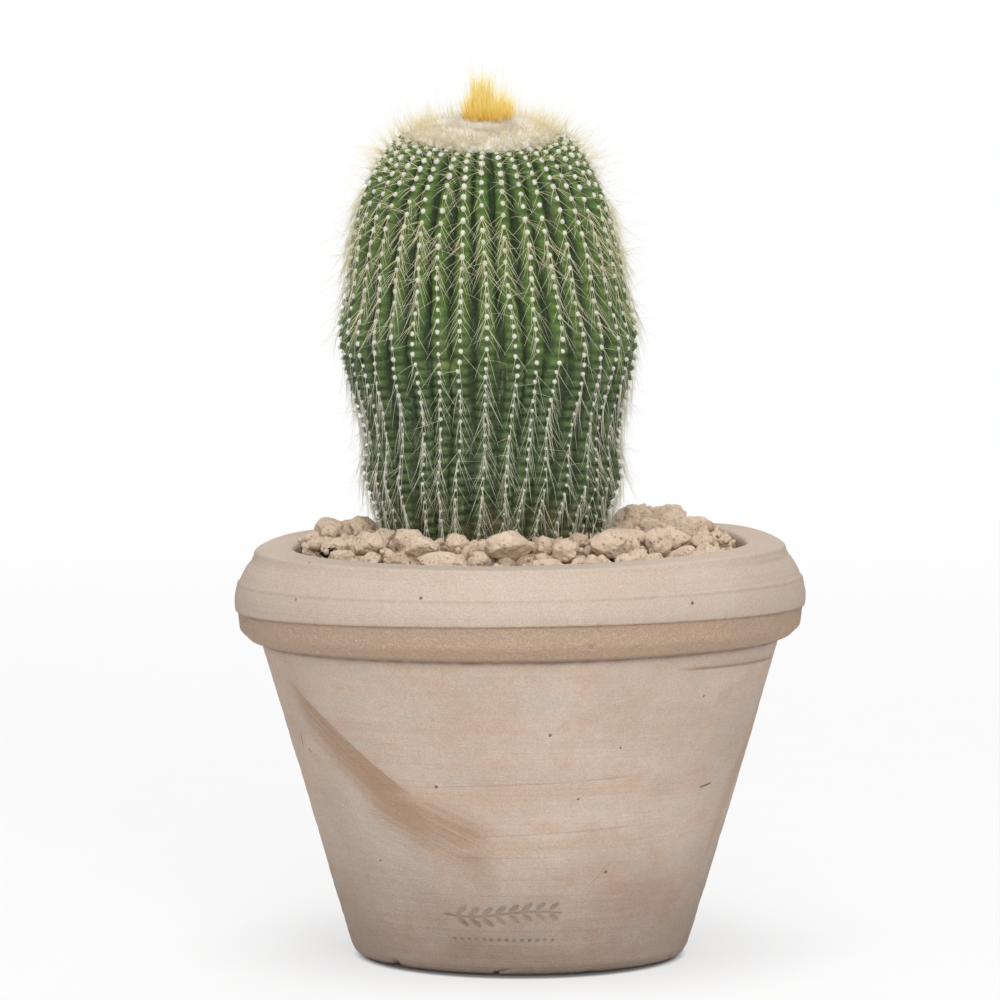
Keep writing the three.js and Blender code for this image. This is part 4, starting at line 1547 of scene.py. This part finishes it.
@dataclass
class Crown:
    """The woolly top: a matted cushion, loose wool, young hairs and the upright golden tuft."""

    stem: Stem
    radius: float = 27.4
    level: float = 316.5
    rise: float = 4.4
    strands: int = 8500
    collar: int = 1000
    fringe: int = 1800
    hairs: int = 850
    skirt_drop: float = 3.0
    bundles: tuple[Bundle, ...] = (
        Bundle(1.02, 0.0, (0.30, 0.62), 0.20, 520, 0.14),
        Bundle(0.75, -0.12, (0.45, 0.80), 0.14, 260, 0.12),
        Bundle(0.42, -0.28, (0.85, 1.25), 0.12, 190, 0.12),
        Bundle(1.00, 0.0, (0.60, 1.05), 0.24, 110, 0.09),
        Bundle(0.85, 0.0, (1.15, 1.65), 0.20, 26, 0.07),
    )
    seed: int = 51

    def surface(self, radius: Array, turn: Array, proud: Array | float = 0.0) -> Array:
        """Places on the cushion, which rounds down to its edge as (1 - (r/R)^4)^0.5, raised by proud."""
        part = np.clip(radius / self.radius, 0, 1)
        height = self.level - 1.2 + self.rise * (1.0 - part**4) ** 0.5 + proud + 0.3 * (1 - part)
        x, y = around(turn)
        return self.stem.bend(np.stack([radius * x, radius * y, height], axis=-1))

    def build(self, wool: Material, loose: Material, young: Material,
              gold: Material) -> None:
        """Makes the cushion, the wool, the hairs and the tuft.

        Args:
            wool: Finish of the cushion.
            loose: Finish of the wool's strands.
            young: Finish of the young hairs.
            gold: Finish of the tuft.
        """
        self.build_cushion(wool)
        self.build_wool(loose)
        self.build_hairs(young)
        self.build_tuft(gold)

    def build_cushion(self, wool: Material) -> None:
        """Makes the cushion: a closed lumpy cap whose underside lies in the stem."""
        rows, columns = 52, 185
        part = np.linspace(1.0, 0.02, rows)[:, None] ** 0.8
        turn = (np.arange(columns) * 2 * math.pi / columns)[None, :]
        edge = 0.045 * np.cos(self.stem.ribs * turn) + 0.03 * np.sin(5 * turn + 1.0)
        radius = self.radius * part * (1.0 + edge * part**3)
        turns = np.broadcast_to(turn, radius.shape)
        x, y = around(turns)
        flat = np.stack([radius * x, radius * y, np.zeros_like(radius)], axis=-1)
        lumps = 0.55 * layered_noise(flat, 4.2, self.seed, 3) + 0.5 * noise(flat, 9.0, self.seed + 4)
        top = self.surface(np.minimum(radius, self.radius * 0.999), turns, lumps)
        below = -self.rise - self.skirt_drop
        skirt = self.surface(np.full((1, columns), self.radius * 0.9), turn, below)
        hub = np.zeros(1)
        poles = [self.surface(hub, hub, below), self.surface(hub, hub, 0.2)]
        points = np.concatenate([skirt.reshape(-1, 3), top.reshape(-1, 3), *poles])
        piece = build_piece("crown_wool_cushion", points, capped_faces(rows + 1, columns), wool)
        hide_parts("crown_wool")

    def rooted(
        self, count: int, inner: float, outer: float, rng: Draws
    ) -> tuple[Array, Array, Array]:
        """Random roots on a ring of the cushion.

        Args:
            count: How many.
            inner: Inner radius of the ring.
            outer: Outer radius.
            rng: Source of chance.

        Returns:
            Places, unit vectors off the cushion, and outward unit vectors in plan.
        """
        radius = np.sqrt(rng.uniform(inner**2, outer**2, count))
        turn = rng.uniform(0, 2 * math.pi, count)
        start = self.surface(radius, turn)
        up = unit(self.surface(radius, turn, 1.0) - start)
        x, y = around(turn)
        return start, up, np.stack([x, y, np.zeros(count)], axis=-1)

    def build_wool(self, loose: Material) -> None:
        """Makes loose strands that stand off the cushion every way, densest at the tuft and the edge."""
        rng = np.random.default_rng(self.seed)
        start, up, _ = self.rooted(self.strands, 0.0, self.radius, rng)
        collar = rng.uniform(0, 2 * math.pi, self.collar)
        start[: self.collar] = self.surface(rng.uniform(9.5, 13.0, self.collar), collar)
        edge = slice(self.collar, self.collar + self.fringe)
        turn = rng.uniform(0, 2 * math.pi, self.fringe)
        start[edge] = self.surface(rng.uniform(0.88, 1.04, self.fringe) * self.radius, turn)
        heading = unit(up * rng.uniform(0.1, 0.9, (self.strands, 1)) + rng.normal(0, 0.6, (self.strands, 3)))
        heading[:, 2] = np.abs(heading[:, 2])
        # The collar's strands are longer, so that they hide where the tuft comes out.
        longer = 1.6 * (np.arange(self.strands) < self.collar)
        Needles(
            start - 0.3 * up, heading, rng.normal(0, 0.35, (self.strands, 3)),
            rng.uniform(1.2, 4.0, self.strands) + longer, rng.uniform(0.05, 0.10, self.strands),
            rng.uniform(0, 1, self.strands), rings=3,
        ).build("crown_wool_strands", loose)

    def build_hairs(self, young: Material) -> None:
        """Makes thin young bristles that rise from the wool and lean out more towards its edge."""
        rng = np.random.default_rng(self.seed + 2)
        start, up, outward = self.rooted(self.hairs, 17.0, self.radius * 1.05, rng)
        away = np.hypot(start[:, 0] - start[:, 0].mean(), start[:, 1] - start[:, 1].mean()) / self.radius
        heading = unit(up + outward * (1.2 * away[:, None] ** 2) + rng.normal(0, 0.16, (self.hairs, 3)))
        Needles(
            start - 0.5 * up, heading, rng.normal(0, 0.06, (self.hairs, 3)),
            rng.uniform(4.0, 11.0, self.hairs), rng.uniform(0.05, 0.08, self.hairs),
            rng.uniform(0, 1.0, self.hairs),
        ).build("crown_hairs", young)

    def build_tuft(self, gold: Material) -> None:
        """Makes the tuft: short dense bristles, a taller bundle left of the middle, and long whiskers."""
        rng = np.random.default_rng(self.seed + 1)
        low, high = (np.array(corner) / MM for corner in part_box("bristle_tuft"))
        middle = (low + high) / 2
        half = (high - low) / 2
        tall = high[2] - low[2]
        parts = []
        for bundle in self.bundles:
            count = bundle.count
            reach = np.sqrt(rng.uniform(0, 1, count)) * bundle.share
            turn = rng.uniform(0, 2 * math.pi, count)
            x, y = around(turn)
            root = np.stack([
                middle[0] + (bundle.shift + reach * x) * half[0],
                middle[1] + reach * y * half[1],
                np.full(count, low[2] - 1.6) + rng.uniform(-1.0, 0.6, count),
            ], axis=-1)
            splay = np.stack([bundle.fan * reach * x, bundle.fan * reach * y, np.ones(count)], axis=-1)
            heading = unit(splay + rng.normal(0, 0.08, (count, 3)))
            parts.append((
                root, heading, rng.normal(0, 0.05, (count, 3)), tall * rng.uniform(*bundle.lengths, count),
                bundle.thickness * rng.uniform(0.7, 1.15, count), rng.uniform(0, 0.5, count),
            ))
        piece = Needles(*[np.concatenate(values) for values in zip(*parts)]).build("golden_tuft", gold)
        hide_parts("bristle_tuft")


# ---------------------------------------------------------------- ground


@dataclass(frozen=True)
class Layer:
    """A layer of the bed: how far apart and how large its pebbles are, in half sizes, how high they
    lie over the CAD gravel, how near to the stones, and their rings and columns of points."""

    name: str
    spacing: float
    half: tuple[float, float]
    lift: float
    clear: float
    rows: int
    columns: int


@dataclass
class Gravel:
    """Pumice top dressing: the larger stones, the pebbles of the bed and the crumbs between them."""

    stone_rings: int = 54
    stone_columns: int = 78
    mouth_radius: float = 87.0
    edge_gap: float = 0.4
    plant_x: float = -10.3
    plant_radius: float = 38.5
    crumb_share: float = 0.35
    flower_clear: float = 5.0
    flower_shift: tuple[float, float] = (4.0, -2.0)
    layers: tuple[Layer, ...] = (
        Layer("pebbles_low", 7.6, (3.6, 5.2), -1.2, 0.0, 6, 10),
        Layer("pebbles_high", 6.0, (2.4, 4.2), 3.0, 0.74, 6, 10),
        Layer("crumbs", 3.2, (0.8, 1.8), 5.0, 0.95, 3, 6),
    )
    heaped: int = 190
    seed: int = 71
    bed: Array = field(default_factory=lambda: np.zeros((0, 3)), init=False)

    def level(self, x: Array, y: Array) -> Array:
        """Height of the CAD gravel: the mean of its nearest top points, weighted by 1 / distance^4."""
        away = (self.bed[None, :, 0] - x[:, None]) ** 2 + (self.bed[None, :, 1] - y[:, None]) ** 2
        weight = 1.0 / (away + 1.0) ** 2
        return (weight * self.bed[None, :, 2]).sum(axis=1) / weight.sum(axis=1)

    def build(self, material: Material) -> None:
        """Makes the stones, then the bed around them."""
        points = node_points("gravel_bed")
        self.bed = points[points[:, 2] > points[:, 2].min() + 2.0]
        names = sorted(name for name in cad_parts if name.startswith("stone_"))
        for index, name in enumerate(names):
            self.build_stone(name, index, material)
        self.build_bed(names, material)

    def build_stone(self, name: str, index: int, material: Material) -> None:
        """Makes one detailed stone where its CAD node lies, on the node's own three axes.

        Hollows are sunk where a coarse and a fine noise add up, and the same sum darkens them with painted
        shade.
        """
        rng = np.random.default_rng(self.seed + index)
        cad = node_points(name)
        low, high = cad.min(axis=0), cad.max(axis=0)
        middle = (low + high) / 2
        axes = np.linalg.eigh(np.cov((cad - middle).T))[1]
        if np.linalg.det(axes) < 0:
            axes[:, 0] = -axes[:, 0]
        half = np.abs((cad - middle) @ axes).max(axis=0)
        directions, faces = ball(self.stone_rings, self.stone_columns)
        radius = LumpShape(unevenness=0.07).radii(directions, 1, rng)[0]
        size = float(half.mean())
        skin = directions * radius[:, None] * half
        pore_shade = noise(skin, 1.3, self.seed + index) + 0.7 * noise(skin, 0.65, self.seed + 90 + index)
        shaded_hollow = ease(pore_shade, 0.45, 1.1)
        grain = layered_noise(skin, 1.8, self.seed + 60 + index, 3)
        radius = radius - (0.65 * shaded_hollow - 0.34 * grain) / size
        local = directions * radius[:, None] * half * 1.06
        points = middle + local @ axes.T
        shades = {"tone": np.full(len(points), rng.uniform(0, 1) ** 2), "shaded_hollow": shaded_hollow}
        piece = build_piece(f"pumice_{name}", points, faces, material, shades)
        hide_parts(name)

    def scatter(self, spacing: float, rng: Draws) -> Array:
        """Places in plan, about evenly spaced: a hexagonal lattice with each point shifted at random.

        Args:
            spacing: Distance between neighbours.
            rng: Source of chance.

        Returns:
            X and Y of the places inside the mouth of the pot.
        """
        reach = int(self.mouth_radius / spacing) + 2
        row, column = np.mgrid[-reach:reach + 1, -reach:reach + 1]
        x = (column + 0.5 * (row % 2)) * spacing
        y = row * spacing * 0.866
        places = np.stack([x.ravel(), y.ravel()], axis=-1)
        return places + rng.uniform(-0.33, 0.33, places.shape) * spacing

    def fits(self, place: Array, half: Array) -> Array:
        """Whether pebbles of these half sizes lie inside the pot's mouth and clear of the plant."""
        inside = np.hypot(place[:, 0], place[:, 1]) + half < self.mouth_radius - self.edge_gap
        return inside & (np.hypot(place[:, 0] - self.plant_x, place[:, 1]) - half > self.plant_radius)

    def build_bed(self, names: list[str], material: Material) -> None:
        """Makes the bed: pebbles over all of it, smaller ones between the stones, crumbs and the heap."""
        rng = np.random.default_rng(self.seed + 500)
        boxes = [np.array(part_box(name)) / MM for name in names]
        centres = np.array([(low + high) / 2 for low, high in boxes])
        sizes = np.array([(high - low) / 2 for low, high in boxes])
        flower = np.array(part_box("dried_flower")).mean(axis=0)[:2] / MM + np.array(self.flower_shift)
        for layer in self.layers:
            place = self.scatter(layer.spacing, rng)
            half = rng.uniform(*layer.half, len(place))
            gap = np.hypot(place[:, None, 0] - centres[:, 0], place[:, None, 1] - centres[:, 1])
            near = (gap / (sizes[:, :2].mean(axis=1) + half[:, None])).min(axis=1)
            keep = self.fits(place, half) & (near > layer.clear)
            upper = layer.lift > 0
            if upper:
                keep &= np.hypot(*(place - flower).T) > self.flower_clear + half
            if layer.name == "crumbs":
                keep &= rng.uniform(0, 1, len(place)) < self.crumb_share
            place, half = place[keep], half[keep]
            rise = self.level(place[:, 0], place[:, 1]) + layer.lift + rng.normal(0, 0.8, len(place))
            # At both sides the bed is filled up towards the mouth's edge.
            rise = rise + (1.6 + 2.4 * upper) * ease(np.abs(place[:, 0]), 66.0, 80.0)
            centre = np.column_stack([place, rise])
            self.build_pebbles(layer.name, centre, half, layer.rows, layer.columns, rng, material)
        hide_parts("gravel_bed")
        self.build_heap(rng, material)

    def build_pebbles(self, name: str, centre: Array, half: Array, rows: int, columns: int,
                      rng: Draws, material: Material) -> bpy.types.Object:
        """Makes many turned pebbles as one piece.

        Args:
            name: Name of the piece.
            centre: Their middles.
            half: Their mean half sizes.
            rows: Rings of points on each.
            columns: Points in a ring.
            rng: Source of chance.
            material: Their finish.

        Returns:
            The piece.
        """
        count = len(centre)
        directions, faces = ball(rows, columns)
        radius = LumpShape().radii(directions, count, rng)
        stretch = rng.uniform(0.78, 1.18, (count, 1, 3)) * half[:, None, None]
        local = directions[None] * radius[..., None] * stretch
        apart = rng.uniform(0, 90, (count, 1, 3))
        # The hollows are sunk into the pebbles and also darkened with painted shade.
        shaded_hollow = ease(noise(local + apart, 1.2, 7) + 0.6 * noise(local + apart, 0.7, 8), 0.5, 1.1)
        # Crumbs have too few rings of points to carry hollows.
        local = local - unit(local) * (0.3 * shaded_hollow * (rows > 4))[..., None]
        points = centre[:, None] + np.einsum("nij,npj->npi", turned_frames(count, rng), local)
        shades = {
            "tone": np.repeat(rng.uniform(0, 1, (count, 1)) ** 1.6, len(directions), axis=1),
            "shaded_hollow": shaded_hollow,
        }
        faces = repeated(faces, len(directions), count)
        return build_piece(name, points, faces, material, shades)

    def build_heap(self, rng: Draws, material: Material) -> None:
        """Makes the pebbles heaped at the right, behind the plant's foot.

        The heap rises over the bed as a bell across Y and levels off in X, and falls towards the rim
        with the 1.5th power of the way there; its pebbles lie at random heights under that surface.
        """
        place = rng.uniform((34.0, -2.0), (84.0, 54.0), (self.heaped, 2))
        half = rng.uniform(2.6, 5.4, len(place))
        keep = self.fits(place, half)
        place, half = place[keep], half[keep]
        bed = self.level(place[:, 0], place[:, 1])
        crest_highlight = 171.0 - 0.09 * np.maximum(place[:, 0] - 58.0, 0.0) ** 1.5
        share = bell(place[:, 1], 27.0, 19.0) * ease(place[:, 0], 30.0, 44.0)
        top = bed + 3.0 + np.maximum(crest_highlight - bed - 3.0, 0.0) * share - half
        rise = bed + 1.0 + (top - bed - 1.0) * rng.uniform(0, 1, len(place)) ** 0.4
        self.build_pebbles("pebbles_heap", np.column_stack([place, rise]), half, 6, 10, rng, material)


@dataclass
class Litter:
    """Small dry remains on the gravel: a fallen flower and shed spines."""

    flower_shift: Place = (3.5, -3.0, 3.0)
    petals: int = 44
    shed: int = 120
    seed: int = 91

    def build(self, husk: Material, bristle: Material) -> None:
        """Makes the flower and the shed spines."""
        self.build_flower(husk)
        self.build_shed(bristle)

    def build_flower(self, husk: Material) -> None:
        """Makes the dried flower: shrivelled petals as narrow twisted blades around a small heart.

        A blade's middle line rises and curls over, its width swells and closes as sin(pi s), and its
        section is a flat diamond.
        """
        rng = np.random.default_rng(self.seed)
        low, high = (np.array(corner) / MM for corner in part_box("dried_flower"))
        middle = (low + high) / 2 + np.array(self.flower_shift)
        half = (high - low) / 2
        count, rings = self.petals, 9
        s = np.linspace(0.04, 0.96, rings)
        turn = rng.uniform(0, 2 * math.pi, count)
        x, y = around(turn)
        out = np.stack([x, y, np.zeros(count)], axis=-1)
        side = np.stack([-y, x, np.zeros(count)], axis=-1)
        reach = rng.uniform(0.7, 1.25, count) * half[:2].mean()
        lift = rng.uniform(0.4, 1.8, count) * half[2]
        root = np.array([middle[0], middle[1], middle[2] - 1.0]) + rng.normal(0, 0.6, (count, 3))
        line = (
            root[:, None] + out[:, None] * (reach[:, None] * s)[..., None]
            + np.array([0, 0, 1.0]) * (lift[:, None] * np.sin(2.3 * s))[..., None]
            + side[:, None] * (rng.normal(0, 0.8, (count, 1)) * s**2)[..., None]
        )
        width = (0.62 * np.sin(math.pi * s))[None, :, None, None]
        twist = rng.uniform(-1.6, 1.6, (count, 1)) * s
        flat = np.cos(twist)[..., None] * side[:, None] + np.sin(twist)[..., None] * np.array([0, 0, 1.0])
        thin = np.cross(unit(out)[:, None], flat) * 0.28
        ring = np.stack([flat, thin, -flat, -thin], axis=2)
        body = line[:, :, None] + ring * width
        points = np.concatenate([body.reshape(count, -1, 3), line[:, :1], line[:, -1:]], axis=1)
        faces = repeated(capped_faces(rings, 4), points.shape[1], count)
        piece = build_piece("dried_flower_petals", points, faces, husk)
        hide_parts("dried_flower")

    def build_shed(self, bristle: Material) -> None:
        """Makes shed spines caught upright between the gravel and the right of the stem's foot."""
        rng = np.random.default_rng(self.seed + 1)
        count = self.shed
        start = np.column_stack([
            rng.normal(33.0, 2.6, count), rng.normal(-6.0, 8.0, count), rng.uniform(163.0, 174.0, count),
        ])
        heading = unit(rng.normal(0, 1, (count, 3)) * np.array([0.5, 0.5, 1.0]))
        Needles(
            start, heading, rng.normal(0, 0.12, (count, 3)), rng.uniform(4, 8, count),
            np.full(count, 0.11), rng.uniform(0.6, 1.0, count),
        ).build("shed_bristles", bristle)


# ---------------------------------------------------------------- studio


@dataclass
class Studio:
    """Pale floor, white surroundings, soft lights and the camera."""

    camera_x: float = -7.7
    camera_away: float = 1933.0
    camera_height: float = 305.6
    lens: float = 180.0
    shift: float = -0.341
    sky_seen: float = 1.0
    sky_light: float = 0.52
    floor_level: float = -0.0002

    def build(self, floor_finish: Material) -> None:
        """Sets up everything around the object."""
        self.build_camera()
        self.build_floor(floor_finish)
        self.build_sky()
        middle, crown = (0.0, 0.0, 0.15), (0.0, 0.0, 0.2)
        self.build_light("key_light", (0.25, -2.1, 1.25), middle, 1.3, 33.5)
        self.build_light("fill_light", (-1.5, -1.5, 1.0), middle, 1.2, 3.0)
        self.build_light("top_light", (-0.05, -0.7, 2.1), middle, 1.0, 17.0)
        self.build_light("back_light", (0.2, 1.6, 1.7), crown, 1.5, 14.0)
        bpy.context.scene.view_settings.view_transform = "Standard"

    def build_camera(self) -> None:
        """Places the camera in front, level with the crown, with its view shifted down to the pot."""
        data = bpy.data.cameras.new("camera")
        data.lens = self.lens
        data.sensor_width = 36.0
        data.shift_y = self.shift
        data.clip_end = 50.0
        camera = bpy.data.objects.new("camera", data)
        camera.location = (self.camera_x * MM, -self.camera_away * MM, self.camera_height * MM)
        camera.rotation_euler = (math.pi / 2, 0.0, 0.0)
        bpy.context.collection.objects.link(camera)
        bpy.context.scene.camera = camera

    def build_floor(self, finish: Material) -> None:
        """Makes a large round floor as rings of points, wider apart further out."""
        rings, columns = 24, 96
        radius = np.linspace(0.02, 1.0, rings)[:, None] ** 2 * 9.0
        x, y = around((np.arange(columns) * 2 * math.pi / columns)[None, :])
        level = np.full((rings, columns), self.floor_level)
        points = np.stack([radius * x, radius * y, level], axis=-1).reshape(-1, 3)
        points = np.concatenate([points, [[0.0, 0.0, self.floor_level]]])
        beside = (np.arange(columns) + 1) % columns
        hub = np.stack([np.full(columns, rings * columns), np.arange(columns), beside], axis=-1)
        quads = grid_faces(rings, columns)[:, ::-1]
        mesh = bpy.data.meshes.new("floor")
        mesh.from_pydata(points.tolist(), [], [*quads.tolist(), *hub.tolist()])
        mesh.materials.append(finish)
        floor = bpy.data.objects.new("floor", mesh)
        bpy.context.collection.objects.link(floor)

    def build_sky(self) -> None:
        """Fills the surroundings with white: full white where it is seen, softer as a light."""
        world = bpy.data.worlds.new("white_room")
        world.use_nodes = True
        world.node_tree.nodes.clear()
        recipe = Recipe(world.node_tree)
        seen = recipe.add("ShaderNodeLightPath").outputs["Is Camera Ray"]
        strength = recipe.ramp(seen, 0.0, 1.0, self.sky_light, self.sky_seen)
        back = recipe.add("ShaderNodeBackground", {"Color": (1.0, 1.0, 1.0), "Strength": strength})
        recipe.add("ShaderNodeOutputWorld", {"Surface": back.outputs["Background"]})
        bpy.context.scene.world = world

    @staticmethod
    def build_light(name: str, place: Place, target: Place, size: float, power: float) -> None:
        """Adds a soft square light.

        Args:
            name: Name of the light.
            place: Where it hangs, in metres.
            target: What it points at.
            size: Edge length in metres.
            power: Watts.
        """
        data = bpy.data.lights.new(name, "AREA")
        data.size = size
        data.energy = power
        light = bpy.data.objects.new(name, data)
        light.location = place
        aim = np.array(target) - np.array(place)
        level = math.hypot(aim[0], aim[1])
        light.rotation_euler = (math.pi / 2 + math.atan2(aim[2], level), 0.0, math.atan2(-aim[0], aim[1]))
        bpy.context.collection.objects.link(light)


def dress_soil(material: Material) -> None:
    """Gives the compost, which shows only in the drain hole, its finish."""
    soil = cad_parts["potting_soil"]
    soil.data.materials.clear()
    soil.data.materials.append(material)


def main() -> None:
    """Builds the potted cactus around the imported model, from the pot up."""
    logging.basicConfig(level=logging.INFO, format="%(message)s")
    effects = Effects()
    Studio().build(PaleFloor().build())
    Pot().build(Terracotta().build(effects))
    dress_soil(Earth("compost", (0.075, 0.05, 0.032), (0.02, 0.013, 0.009), 160.0).build(effects))
    stem = Stem()
    stem.build(CactusSkin().build())
    felt = Felt("areole_felt", (0.98, 0.97, 0.90), (0.86, 0.84, 0.73), 500.0).build(effects)
    cream = Bristle("cream_bristle", (0.93, 0.81, 0.42), (0.97, 0.91, 0.64), (0.93, 0.91, 0.80)).build()
    Armour(stem).build(felt, cream)
    wool = Felt("crown_wool", (0.98, 0.955, 0.89), (0.88, 0.835, 0.73), 260.0).build(effects)
    loose = Bristle("loose_wool", (0.93, 0.89, 0.80), (0.96, 0.93, 0.87), (0.88, 0.81, 0.67)).build()
    young = Bristle(
        "young_bristle", (0.93, 0.77, 0.33), (0.97, 0.90, 0.62), (0.94, 0.82, 0.50), glow=0.05
    ).build()
    gold = Bristle(
        "golden_bristle", (0.98, 0.74, 0.12), (1.0, 0.92, 0.50), (0.97, 0.82, 0.28), 0.5, 0.12
    ).build()
    Crown(stem).build(wool, loose, young, gold)
    Gravel().build(Pumice().build(effects))
    husk = Earth("dried_petals", (0.11, 0.035, 0.045), (0.03, 0.010, 0.015), 300.0).build(effects)
    Litter().build(husk, cream)


if __name__ == "__main__":
    main()
